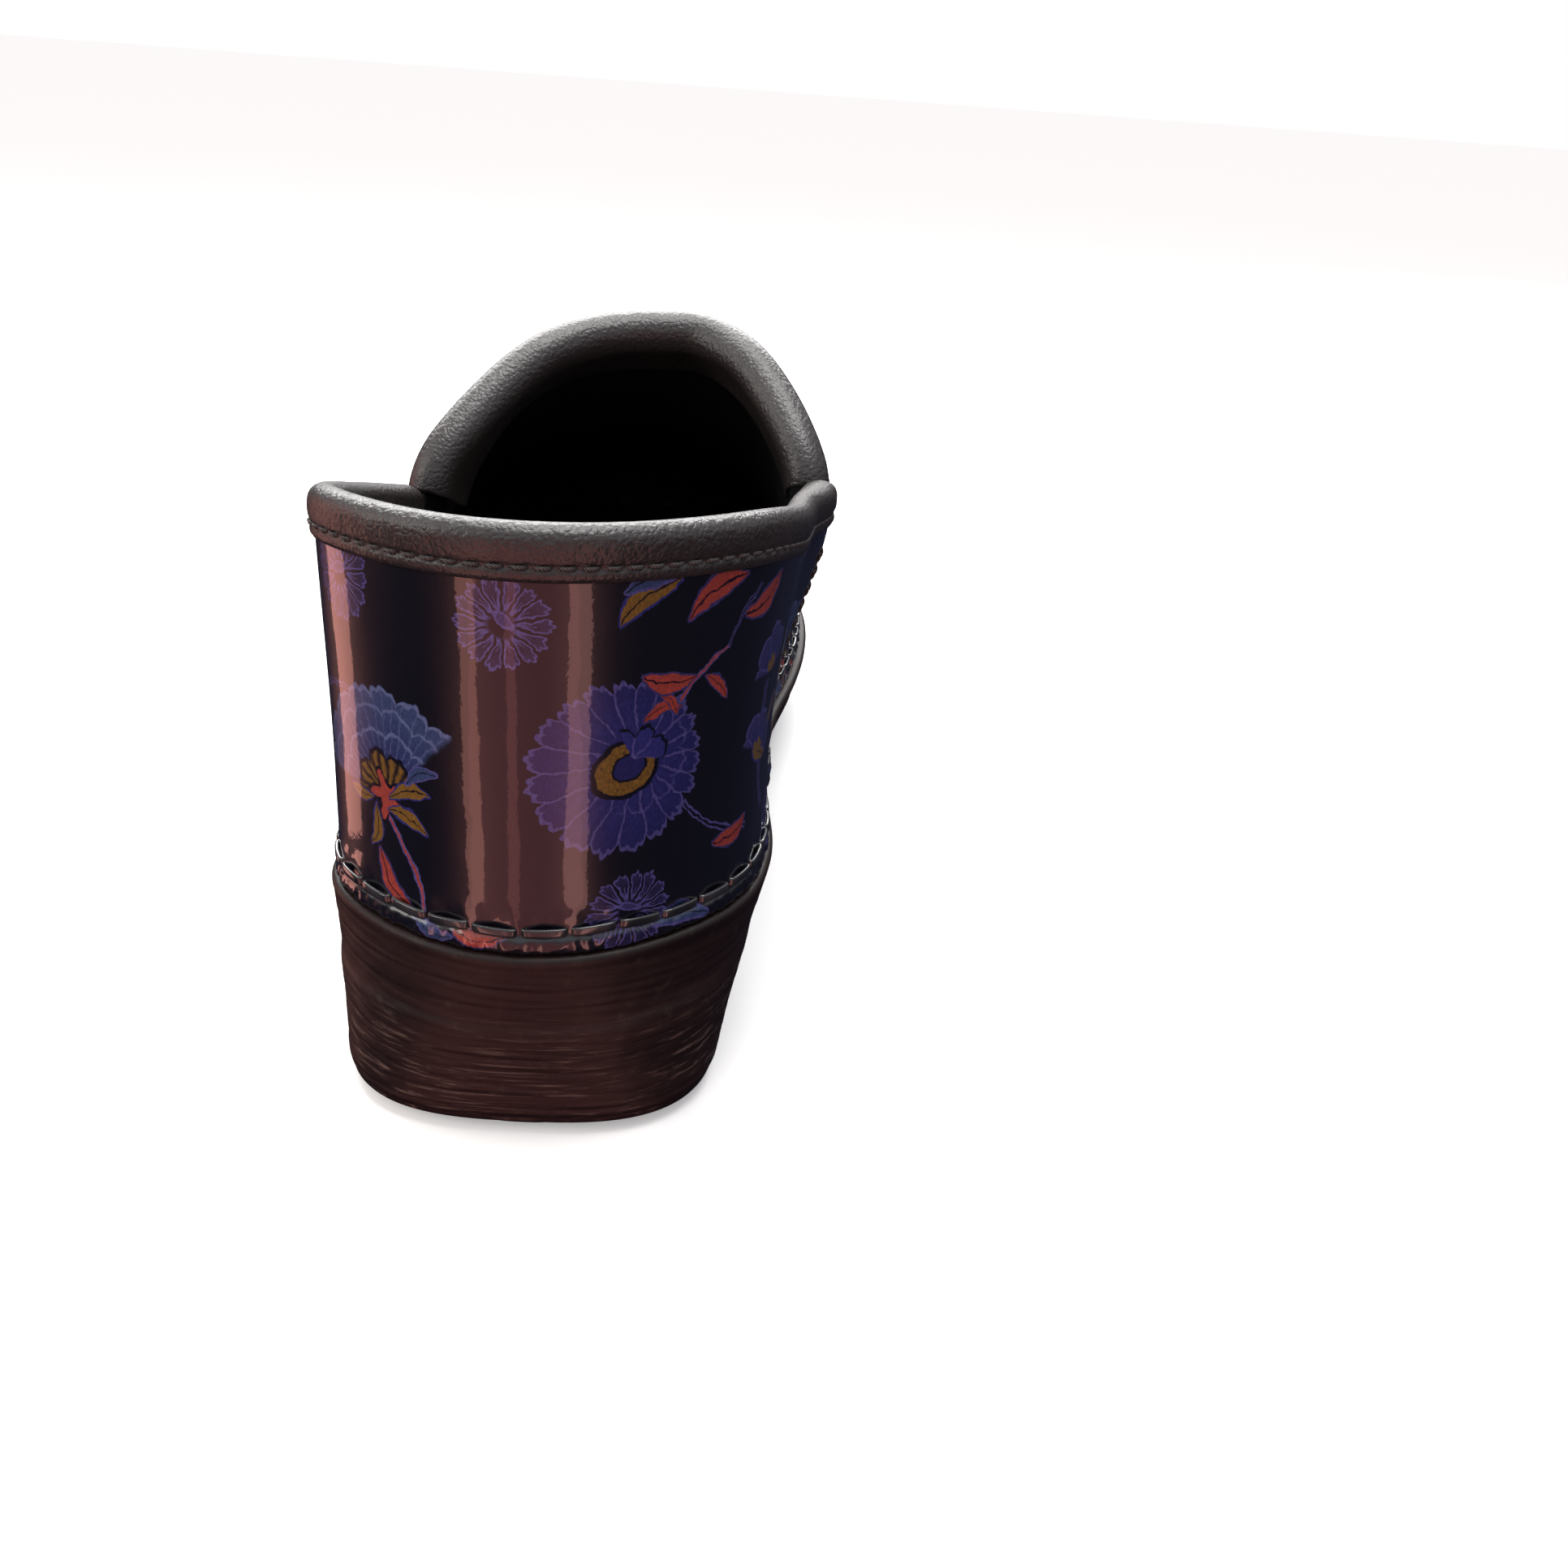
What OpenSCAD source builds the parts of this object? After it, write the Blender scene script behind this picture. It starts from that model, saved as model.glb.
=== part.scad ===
// Closed-back clog, left shoe: a stapled leather upper on a moulded rocker sole.
// The toe points along +Y, the inner side of the foot is +X, and the tread rests on z = 0.
// Stations along the shoe are measured from the back of the heel until the last step.

/* [Upper] */
// Length of the upper from heel to toe at the feather line
upper_len = 254; // [246:1:262]
// Height of the collar at the back of the heel
collar_height = 107; // [102:0.5:110]
// How far forward of the heel the throat reaches at its middle
throat_peak = 122; // [116:1:128]
// Thickness of the printed leather
leather_t = 1.6; // [1.4:0.1:1.7]
// Thickness of the lining
lining_t = 1; // [0.9:0.1:1.2]
// Space between leather and lining that the stiffeners fill
filler_t = 1.1; // [1:0.1:1.4]

/* [Bindings] */
// Thickness of the binding leather
binding_t = 0.8; // [0.7:0.1:1]
// Height of the heel collar binding below its rolled edge
collar_flange = 5.6; // [5:0.2:9]
// Width of the throat binding below its rolled edge
throat_flange = 8; // [6:0.5:10]
// Radius of the padded roll at the throat
throat_roll_r = 4.5; // [4:0.1:5]
// Length of one stitch
stitch_len = 2.6; // [2:0.1:3]
// Distance between stitches
stitch_pitch = 3.4; // [3.2:0.1:4]

/* [Staples] */
// Number of staples round the shoe
staple_count = 76; // [60:2:80]
// Length of a staple's crown
staple_len = 6.6; // [5:0.2:6.8]
// Width of the flat wire
staple_w = 1.4; // [1:0.1:1.6]
// Thickness of the flat wire
staple_t = 0.6; // [0.4:0.1:0.8]
// Length of a staple's legs
staple_leg = 4.5; // [4:0.5:5]
// Height of the staples above the leather's lower edge
staple_rise = 4.3; // [4:0.1:4.8]

/* [Sole] */
// How far the sole's edge stands out past the leather at the heel
lip_heel = 1.5; // [1:0.1:2]
// How far the sole's edge stands out past the leather at the toe
lip_toe = 3; // [2:0.1:4]
// Thickness of the two tread pads
tread_t = 1.4; // [1.2:0.1:1.6]
// Depth of the socket in the sole that holds the frame
socket_depth = 4; // [3:0.5:5]
// Height of the frame's rim above the leather's lower edge
frame_rise = 6.5; // [6:0.5:7]
// Thickness of the footbed foam
foam_t = 5; // [4:0.5:6]
// Thickness of the sock liner
liner_t = 1.2; // [1:0.1:1.5]
// Radius of the heel cushion
cushion_r = 20; // [16:1:22]
// Width of the steel shank
shank_w = 14; // [10:1:16]

/* [Hidden] */

// The tables below hold stations, [distance from the heel, value], joined by smooth curves.
// They are drawn for an upper of this length and stretch with upper_len.
drawn_len = 254;
stretch = upper_len / drawn_len;
// Height of the feather line, where leather meets sole
FEATHER = [[0, 36], [40, 34.5], [80, 31], [110, 27], [140, 23.5], [170, 22], [200, 22.5],
    [230, 25.5], [254, 29.5]];
// Height of the full cross-section above the feather line
DOME = [[0, 190], [40, 150], [80, 113], [100, 99], [118, 94.5], [140, 85.5], [160, 73.5],
    [180, 63], [200, 55], [225, 48], [254, 44]];
// Half-widths at the feather line, before the ends are rounded
WIDTH_LAT = [[0, 61], [20, 60], [40, 49], [70, 40.2], [100, 38.2], [130, 42.5], [160, 49.8],
    [180, 54.2], [205, 60], [230, 66.5], [254, 70]];
WIDTH_MED = [[0, 61], [20, 61], [40, 53], [70, 40], [100, 34], [130, 36.5], [160, 45.4],
    [180, 52], [205, 60.5], [230, 68], [254, 70]];
// Bulge of the walls past the feather line
FLARE_LAT = [[0, 4], [40, 7], [85, 11], [120, 6.5], [160, 4], [200, 2.5], [254, 1.5]];
FLARE_MED = [[0, 4], [40, 11], [85, 17.2], [105, 17], [130, 9], [160, 3.5], [200, 2], [254, 1.5]];
// Sideways place of the middle line, and the lean of the ridge over the instep
CENTRE = [[0, 0], [45, 0.5], [100, 5.4], [130, 4.4], [160, 2.2], [200, 1], [254, 3.5]];
RIDGE = [[0, 0], [60, 1.5], [110, 12.5], [150, 12], [200, 7], [254, 3]];
// Drop of the topline below the collar's height
TOP_LAT = [[0, 0], [25, 3], [50, 9.5], [88, 20]];
TOP_MED = [[0, 0], [25, 3], [50, 8.5], [88, 14]];
// Underside of the moulded sole, and its half-widths before the ends are rounded
UNDER = [[-2, 1.4], [6, 1.4], [60, 1.4], [73, 2], [84, 7.6], [95, 13.5], [108, 15.5], [125, 11.3],
    [140, 5.6], [160, 2.1], [178, 1.4], [195, 2.1], [225, 6.4], [258, 14.5]];
BASE_LAT = [[-2, 33.4], [50, 33.4], [75, 31.5], [100, 31], [135, 39], [180, 46], [220, 46],
    [258, 44]];
BASE_MED = [[-2, 32], [50, 32], [75, 29.5], [100, 27], [135, 33], [180, 44], [220, 45],
    [258, 44]];
section_power = 2.4;
fullness_lat = 2.2;
fullness_med = 1.9;
flare_from = 0.12;
flare_run = 0.55;
toe_round = 46;
toe_power = 2.3;
seam_y = 88 * stretch;
tuck = 6;
seam_lift = leather_t + 0.05;
lift_from = 26;
lift_run = 20;
roll_r = (leather_t + filler_t + lining_t + 0.1) / 2 + binding_t;
skin_gap = 0.05;
lining_n = -leather_t - filler_t;
inside_n = lining_n - lining_t;
around = 96;
tip_gap = 0.3;
base_back = 0.4;
base_front = 257;
back_round = 28;
back_power = 2.8;
front_round = 62;
front_power = 2.2;
heel_pad_from = 5;
heel_pad_to = 70;
fore_pad_from = 146;
fore_pad_to = 232;
pad_inset = 2.5;
pad_corner = 9;
groove_w = 2;
groove_d = 0.7;
groove_pitch = 8;
groove_first = 8;
// More than the whole shoe's width, for cuts that run right across
wide = 160;
shank_from = 62;
shank_to = 158;
shank_t = 1.6;
cushion_y = 34;
cushion_t = 6;

// Small helpers
function clamp01(t) = min(1, max(0, t));
function smooth01(t) = let (c = clamp01(t)) c * c * (3 - 2 * c);
function mix(a, b, t) = a + (b - a) * t;
function unit(v) = v / max(norm(v), 0.000001);

// Smooth curve through a table of stations
function span(T, y, i = 0) = i >= len(T) - 2 || y <= T[i + 1][0] ? i : span(T, y, i + 1);
function slope(T, i) = let (a = max(i - 1, 0), b = min(i + 1, len(T) - 1))
    (T[b][1] - T[a][1]) / (T[b][0] - T[a][0]);
function along(T, y) =
    let (i = span(T, y), w = T[i + 1][0] - T[i][0], t = clamp01((y - T[i][0]) / w),
        m0 = slope(T, i) * w, m1 = slope(T, i + 1) * w)
    (2 * t ^ 3 - 3 * t ^ 2 + 1) * T[i][1] + (t ^ 3 - 2 * t ^ 2 + t) * m0
        + (3 * t ^ 2 - 2 * t ^ 3) * T[i + 1][1] + (t ^ 3 - t ^ 2) * m1;
function station(T, y) = along(T, y / stretch);

// Outer surface of the upper: y along the shoe, s the fraction of the section's height,
// side -1 on the outer side of the foot and 1 on the inner side
function feather(y) = station(FEATHER, y);
function toe_drop(y) = let (u = clamp01((y - upper_len + toe_round) / toe_round))
    (1 - u ^ toe_power) ^ (1 / toe_power);
function dome(y) = station(DOME, y) * toe_drop(y);
function end_round(y) = sqrt(max(0, 1 - (1 - 2 * y / upper_len) ^ 2));
function upper_pt(y, s, side) =
    let (e = end_round(y), outward = smooth01((s - flare_from) / flare_run) * sin(90 * e),
        c = max(0, 1 - s ^ section_power) ^ (1 / (side < 0 ? fullness_lat : fullness_med)),
        w = station(side < 0 ? WIDTH_LAT : WIDTH_MED, y) * e,
        flare = station(side < 0 ? FLARE_LAT : FLARE_MED, y) * outward)
    [station(CENTRE, y) + station(RIDGE, y) * e * (1 - c) + side * (w + flare) * c,
        y, feather(y) + dome(y) * s];
function wall_pt(y, z, side) = upper_pt(y, min(0.999, (z - feather(y)) / dome(y)), side);
function arch_pt(y, phi) = upper_pt(y, sin(phi) ^ (2 / section_power), phi < 90 ? -1 : 1);
function arch_angle(y, rise) = asin(min(0.999, rise / dome(y)) ^ (section_power / 2));
function topline(y, side) = collar_height - station(side < 0 ? TOP_LAT : TOP_MED, y);

// A point of the surface f(u, v) moved out by n along the surface's normal
step = 0.004;
function tangent_u(f, u, v) = f(min(1, u + step), v) - f(max(0, u - step), v);
function tangent_v(f, u, v) = f(u, min(1, v + step)) - f(u, max(0, v - step));
function normal(f, u, v) = unit(cross(tangent_u(f, u, v), tangent_v(f, u, v)));
function lifted(f, u, v, n) = f(u, v) + n * normal(f, u, v);

// The quarter: u runs round the heel from the outer side to the inner side, v runs up
function heel_y(u, front) = front * (1 - cos(90 * abs(2 * u - 1)));
function heel_side(u) = u < 0.5 ? -1 : 1;
function heel_face(front, low, drop) = function (u, v)
    let (y = heel_y(u, front), side = heel_side(u))
    wall_pt(y, mix(feather(y) + low, topline(y, side) - drop, v), side);
function seam_step(y) = seam_lift * smooth01((y - seam_y + lift_from) / lift_run);

// The vamp: u runs over the instep from the outer side to the inner side, v runs to the toe
function notch(phi) = let (side = phi < 90 ? -1 : 1)
    arch_angle(seam_y, topline(seam_y, side) - feather(seam_y));
function throat_y(phi) =
    let (p = min(phi, 180 - phi), t = clamp01((p - notch(phi)) / (90 - notch(phi))))
    mix(seam_y + 2, throat_peak * stretch, sin(90 * t) ^ 1.3);
function vamp_edge(phi, start) =
    mix(start, throat_y(phi) + throat_roll_r, smooth01((min(phi, 180 - phi) - notch(phi) + 5) / 5));
function round_angle(y) = acos(1 - 2 * y / upper_len);
function vamp_face(from, to, low) = function (u, v)
    let (y = upper_len / 2 * (1 - cos(mix(round_angle(from(180 * u)), round_angle(to), v))),
        edge = low > 0 ? arch_angle(y, low) : 0)
    arch_pt(y, mix(edge, 180 - edge, u));

// The whole lower wall as one loop: t runs from the heel round the inner side, v is 0 to 1
// over the given height above the feather line, where the front of the toe is upright
function loop_y(t) = upper_len / 2 * (1 - cos(360 * t));
function loop_face(height) = function (t, v)
    let (y = loop_y(t), rise = v * height, s = min(0.9, rise / dome(min(y, upper_len - 1))),
        p = upper_pt(y, s, t < 0.5 ? 1 : -1))
    [p[0], y, feather(y) + rise];
function loop_ring(n, rise) = [for (i = [0 : around - 1])
    let (t = i / around, ends = t == 0 || t == 0.5,
        p = lifted(loop_face(10), ends ? t + step / 2 : t, clamp01(rise / 10), n))
    [ends ? station(CENTRE, loop_y(t)) : p[0], p[1], feather(loop_y(t)) + rise]];

// Faces of a closed skin between two grids of points, outer[i][j] and inner[i][j].
// With tip, the last column of each grid is closed straight across.
module skin(outer, inner, tip = false) {
    nu = len(outer) - 1;
    nv = len(outer[0]) - 1;
    size = (nu + 1) * (nv + 1);
    function o(i, j) = i * (nv + 1) + j;
    function n(i, j) = size + o(i, j);
    points = concat([for (row = outer) each row], [for (row = inner) each row]);
    quads = concat(
        [for (i = [0 : nu - 1], j = [0 : nv - 1]) [o(i, j), o(i, j + 1), o(i + 1, j + 1), o(i + 1, j)]],
        [for (i = [0 : nu - 1], j = [0 : nv - 1]) [n(i, j), n(i + 1, j), n(i + 1, j + 1), n(i, j + 1)]],
        [for (i = [0 : nu - 1]) [o(i, 0), o(i + 1, 0), n(i + 1, 0), n(i, 0)]],
        [for (j = [0 : nv - 1]) [o(0, j + 1), o(0, j), n(0, j), n(0, j + 1)]],
        [for (j = [0 : nv - 1]) [o(nu, j), o(nu, j + 1), n(nu, j + 1), n(nu, j)]],
        tip ? [[o(nu, nv), o(0, nv), n(0, nv), n(nu, nv)]]
            : [for (i = [0 : nu - 1]) [o(i + 1, nv), o(i, nv), n(i, nv), n(i + 1, nv)]],
        tip ? [for (i = [0 : nu / 2 - 2]) [o(i + 1, nv), o(i, nv), o(nu - i, nv), o(nu - i - 1, nv)]] : [],
        tip ? [for (i = [0 : nu / 2 - 2]) [n(i, nv), n(i + 1, nv), n(nu - i - 1, nv), n(nu - i, nv)]] : []);
    peaks = tip ? let (m = nu / 2)
        [[o(m, nv), o(m - 1, nv), o(m + 1, nv)], [n(m - 1, nv), n(m, nv), n(m + 1, nv)]] : [];
    triangles = [for (q = quads) each [[q[0], q[1], q[2]], [q[0], q[2], q[3]]]];
    polyhedron(points, concat(triangles, peaks), convexity = 6);
}

// A sheet on the surface f between two offsets, each a function of u and v
module sheet(f, nu, nv, outer_n, inner_n, tip = false) {
    skin([for (i = [0 : nu]) [for (j = [0 : nv]) lifted(f, i / nu, j / nv, outer_n(i / nu, j / nv))]],
        [for (i = [0 : nu]) [for (j = [0 : nv]) lifted(f, i / nu, j / nv, inner_n(i / nu, j / nv))]],
        tip);
}

// A solid of stacked rings, each a loop of the same number of points, capped at both ends
module stack(rings) {
    n = len(rings[0]);
    top = len(rings) - 1;
    function at(k, i) = k * n + i % n;
    sides = [for (k = [0 : top - 1], i = [0 : n - 1])
        each [[at(k, i), at(k + 1, i), at(k + 1, i + 1)], [at(k, i), at(k + 1, i + 1), at(k, i + 1)]]];
    rungs = [for (i = [1 : n / 2 - 2])
        each [[i, i + 1, n - i - 1], [i, n - i - 1, n - i]]];
    cap = concat([[0, 1, n - 1], [n / 2 - 1, n / 2, n / 2 + 1]], rungs);
    lid = [for (f = cap) [at(top, f[0]), at(top, f[2]), at(top, f[1])]];
    polyhedron([for (ring = rings) each ring], concat(sides, cap, lid), convexity = 6);
}

// Moves the finished piece so that the origin is under the middle of the whole shoe
lip_ring = [for (i = [0 : around - 1]) lip_pt(i / around)];
centre_x = (max([for (p = lip_ring) p[0]]) + min([for (p = lip_ring) p[0]])) / 2;
centre_y = (max([for (p = lip_ring) p[1]]) + min([for (p = lip_ring) p[1]])) / 2;
module placed() {
    translate([-centre_x, -centre_y, 0]) children();
}

// Sole outlines: the lip just outside the leather, and the base that carries the treads
function lip_pt(t) =
    let (y = loop_y(t), out = mix(lip_heel, lip_toe, smooth01(y / upper_len)),
        p = lifted(loop_face(10), t == 0 || t == 0.5 ? t + step / 2 : t, 0, out))
    [t == 0 || t == 0.5 ? station(CENTRE, y) : p[0], p[1], feather(y)];
function base_round(y) =
    let (a = clamp01((y - base_back) / back_round),
        b = clamp01((base_front * stretch - y) / front_round))
    (1 - (1 - a) ^ back_power) ^ (1 / back_power) * (1 - (1 - b) ^ front_power) ^ (1 / front_power);
function base_x(y, side, inset) =
    station(CENTRE, y)
        + side * max(0, station(side < 0 ? BASE_LAT : BASE_MED, y) * base_round(y) - inset);
function base_pt(t) =
    let (y = mix(base_back, base_front * stretch, (1 - cos(360 * t)) / 2))
    [base_x(y, t < 0.5 ? 1 : -1, 0), y, station(UNDER, y)];

module outsole() {
    base = [for (i = [0 : around - 1]) base_pt(i / around)];
    low_lip = [for (p = lip_ring) p - [0, 0, 2]];
    socket = loop_ring(-leather_t, 0);
    color([0.16, 0.1, 0.09])
        placed() stack([base, low_lip, lip_ring, socket, [for (p = socket) p - [0, 0, socket_depth]]]);
}

// Plan outline of a tread pad between two stations
module pad_plan(from, to) {
    rows = 14;
    ys = [for (i = [0 : rows]) mix(from, to, (1 - cos(180 * i / rows)) / 2)];
    function corner(t) = pad_corner * (1 - sqrt(1 - (1 - clamp01(t / pad_corner)) ^ 2));
    function nip(y) = pad_inset + corner(y - from) + corner(to - y);
    polygon(concat([for (y = ys) [base_x(y, 1, nip(y)), y]],
        [for (i = [0 : rows]) let (y = ys[rows - i]) [base_x(y, -1, nip(y)), y]]));
}

// Grooves across a tread pad, cut up into its underside
module grooves(from, to) {
    for (y = [from + groove_first : groove_pitch : to - groove_first])
        translate([-wide / 2, y - groove_w / 2, station(UNDER, y) - tread_t - tread_t])
            cube([wide, groove_w, groove_d + tread_t]);
}

module heel_tread_pad() {
    color([0.05, 0.05, 0.05]) placed() difference() {
        linear_extrude(station(UNDER, heel_pad_from) - skin_gap) pad_plan(heel_pad_from, heel_pad_to);
        grooves(heel_pad_from, heel_pad_to);
    }
}

module forefoot_tread_pad() {
    ys = [for (i = [0 : 16]) mix(fore_pad_from, fore_pad_to, i / 16) * stretch];
    color([0.05, 0.05, 0.05]) placed() difference() {
        intersection() {
            linear_extrude(feather(fore_pad_from)) pad_plan(fore_pad_from * stretch, fore_pad_to * stretch);
            translate([wide / 2, 0, 0]) rotate([0, -90, 0]) linear_extrude(wide)
                polygon(concat([for (y = ys) [station(UNDER, y) - skin_gap, y]],
                    [for (i = [0 : 16]) let (y = ys[16 - i]) [station(UNDER, y) - tread_t, y]]));
        }
        grooves(fore_pad_from * stretch, fore_pad_to * stretch);
    }
}

// Steel shank: a flat bar with round ends, lying level in the frame's pocket
shank_z = feather(110) + frame_rise - 4.5;
module shank_bar(gap) {
    translate([station(CENTRE, 110), 0, shank_z - gap])
        linear_extrude(shank_t + 2 * gap) hull() {
            translate([0, shank_from + shank_w / 2, 0]) circle(shank_w / 2 + gap, $fn = 48);
            translate([0, shank_to - shank_w / 2, 0]) circle(shank_w / 2 + gap, $fn = 48);
        }
}

module shank() {
    color("silver") placed() shank_bar(0);
}

// Heel cushion: a soft disc let into the frame
cushion_z = feather(cushion_y) + frame_rise - cushion_t;
module heel_cushion() {
    color([0.3, 0.3, 0.32]) placed()
        translate([0, cushion_y, cushion_z]) cylinder(cushion_t - 0.8, cushion_r, cushion_r, $fn = 64);
}

module midsole_frame() {
    color([0.22, 0.2, 0.19]) placed() difference() {
        stack([loop_ring(-leather_t - 2 * skin_gap, -socket_depth + skin_gap),
            loop_ring(-leather_t - 2 * skin_gap, 0),
            loop_ring(-leather_t - 2 * skin_gap, frame_rise)]);
        translate([0, cushion_y, cushion_z - skin_gap])
            cylinder(cushion_t * 3, cushion_r + skin_gap, cushion_r + skin_gap, $fn = 64);
        shank_bar(skin_gap);
    }
}

module footbed_foam() {
    color([0.35, 0.33, 0.3]) placed()
        stack([loop_ring(inside_n - 0.3, frame_rise + skin_gap),
            loop_ring(inside_n - 0.3, frame_rise + foam_t)]);
}

module sock_liner() {
    low = frame_rise + foam_t + skin_gap;
    color([0.12, 0.11, 0.11]) placed()
        stack([loop_ring(inside_n - 0.5, low), loop_ring(inside_n - 0.5, low + liner_t)]);
}

// Leather of the front: its back margin is tucked under the quarter at the side seams
tucked_edge = function (phi) vamp_edge(phi, seam_y - tuck);
module vamp() {
    color([0.05, 0.05, 0.09]) placed()
        sheet(vamp_face(tucked_edge, upper_len - tip_gap, 0), 36, 20,
            function (u, v) 0, function (u, v) -leather_t, true);
}

// Leather of the back, which laps over the vamp at the side seams
module back_quarter() {
    color([0.06, 0.05, 0.1]) placed()
        sheet(heel_face(seam_y, 0, roll_r), 40, 8,
            function (u, v) seam_step(heel_y(u, seam_y)),
            function (u, v) seam_step(heel_y(u, seam_y)) - leather_t);
}

butted_edge = function (phi) vamp_edge(phi, seam_y + 0.4);
module vamp_lining() {
    color([0.1, 0.1, 0.11]) placed()
        sheet(vamp_face(butted_edge, upper_len - 2.2, frame_rise + 0.5), 28, 16,
            function (u, v) lining_n, function (u, v) inside_n, true);
}

module quarter_lining() {
    color([0.1, 0.1, 0.11]) placed()
        sheet(heel_face(seam_y - 0.4, frame_rise + 0.5, roll_r), 32, 6,
            function (u, v) lining_n, function (u, v) inside_n);
}

// Stiffeners between leather and lining
filler_out = function (u, v) -leather_t - skin_gap;
filler_in = function (u, v) lining_n + skin_gap;
puff_from = 206;
module toe_puff() {
    color([0.75, 0.72, 0.62]) placed()
        sheet(vamp_face(function (phi) puff_from * stretch, upper_len - 1.2, frame_rise + 1.5),
            24, 8, filler_out, filler_in, true);
}

module vamp_backer() {
    color([0.6, 0.6, 0.58]) placed()
        sheet(vamp_face(function (phi) vamp_edge(phi, seam_y) + 9, (puff_from - 2) * stretch,
            frame_rise + 1.5), 24, 8, filler_out, filler_in);
}

module heel_counter() {
    color([0.7, 0.66, 0.55]) placed()
        sheet(heel_face(seam_y - lift_from, frame_rise + 1.5, 20), 28, 4, filler_out, filler_in);
}

// Frame of a rolled edge at point u of a path: where, outward and away from the leather.
// Section points are [n, h]: n out from the leather's face, h past the roll's centre.
function edge_frame(face, u) =
    let (out = normal(face, u, 1)) [face(u, 1), out, unit(tangent_v(face, u, 1))];
function rolled(face, u, lift, n, h, reach) =
    let (f = edge_frame(face, u))
    h < 0 ? lifted(face, u, 1 + h / reach, n + lift) : f[0] + (n + lift) * f[1] + h * f[2];

// Heel collar: the strip's outer path and inner path over the rolled edge
collar_reach = 40;
collar_face = function (u, v)
    let (y = heel_y(u, seam_y), side = heel_side(u))
    wall_pt(y, topline(y, side) - roll_r - (1 - v) * collar_reach, side);
arc_steps = 6;
function over(centre, r, k) = [centre + r * cos(180 * k / arc_steps), r * sin(180 * k / arc_steps)];
collar_centre = binding_t - roll_r;
collar_cols = 40;
// Share of the seam's lift that a point takes, from none inside the shoe to all outside
function collar_share(n) = clamp01((n - collar_centre + roll_r) / (2 * roll_r - binding_t));
module collar_binding() {
    function path(r) = concat([[collar_centre + r, -collar_flange], [collar_centre + r, -collar_flange / 2]],
        [for (k = [0 : arc_steps]) over(collar_centre, r, k)],
        [[collar_centre - r, -collar_flange / 2], [collar_centre - r, -collar_flange]]);
    function grid(r) = [for (i = [0 : collar_cols]) let (u = i / collar_cols)
        [for (p = path(r)) rolled(collar_face, u, seam_step(heel_y(u, seam_y)) * collar_share(p[0]),
            p[0], p[1], collar_reach)]];
    color([0.14, 0.12, 0.12]) placed() skin(grid(roll_r), grid(roll_r - binding_t));
}

// Foam bead and strip inside the heel collar
module collar_pad() {
    r = roll_r - binding_t - 2 * skin_gap;
    outer = concat([[-leather_t - skin_gap, -14], [-leather_t - skin_gap, -0.2]],
        [for (a = [10 : 20 : 70]) [collar_centre + r * cos(a), r * sin(a)]]);
    inner = concat([[lining_n + skin_gap, -14], [lining_n + skin_gap, -0.2]],
        [for (a = [10 : 20 : 70]) [collar_centre - r * cos(a), r * sin(a)]]);
    function grid(path) = [for (i = [0 : 32]) [for (p = path)
        rolled(collar_face, i / 32, 0, p[0], p[1], collar_reach)]];
    color([0.4, 0.4, 0.42]) placed() skin(grid(outer), grid(inner));
}

// Throat of the vamp: v runs back to the edge over the last stretch of leather
throat_reach = 30;
throat_cols = 36;
throat_face = function (u, v)
    let (phi = mix(180 - notch(180), notch(0), u))
    arch_pt(throat_y(phi) + throat_roll_r + (1 - v) * throat_reach, phi);
throat_centre = binding_t - throat_roll_r;
module vamp_binding() {
    inner_flange = throat_flange + 3;
    function path(r) = concat([[throat_centre + r, -throat_flange], [throat_centre + r, -throat_flange / 2]],
        [for (k = [0 : arc_steps]) over(throat_centre, r, k)],
        [[throat_centre - r, -inner_flange / 2], [throat_centre - r, -inner_flange]]);
    function grid(r) = [for (i = [0 : throat_cols])
        [for (p = path(r)) rolled(throat_face, i / throat_cols, 0, p[0], p[1], throat_reach)]];
    color([0.14, 0.12, 0.12]) placed() skin(grid(throat_roll_r), grid(throat_roll_r - binding_t));
}

// Foam that fills the throat's roll and thins out under the lining
module instep_pad() {
    r = throat_roll_r - binding_t - 2 * skin_gap;
    outer = concat([[inside_n - skin_gap, -10], [inside_n - skin_gap, -0.2]],
        [for (a = [10 : 20 : 70]) [throat_centre + r * cos(a), r * sin(a)]]);
    inner = concat([[throat_centre - r, -10], [throat_centre - r, -0.2]],
        [for (a = [10 : 20 : 70]) [throat_centre - r * cos(a), r * sin(a)]]);
    function grid(path) = [for (i = [0 : 28]) [for (p = path)
        rolled(throat_face, i / 28, 0, p[0], p[1], throat_reach)]];
    color([0.4, 0.4, 0.42]) placed() skin(grid(outer), grid(inner));
}

// One stitch: a short flat bar of thread at p, along t, standing out along n
stitch_w = 0.7;
stitch_h = 0.5;
module stitch(p, t, n) {
    a = unit(t) * stitch_len / 2;
    b = unit(cross(n, t)) * stitch_w / 2;
    low = [p - a - b, p + a - b, p + a + b, p - a + b];
    high = [for (q = low) q + n * stitch_h];
    polyhedron(concat(low, high), [[0, 1, 2], [0, 2, 3], [4, 6, 5], [4, 7, 6], [0, 5, 1], [0, 4, 5],
        [1, 6, 2], [1, 5, 6], [2, 7, 3], [2, 6, 7], [3, 4, 0], [3, 7, 4]]);
}

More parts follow.
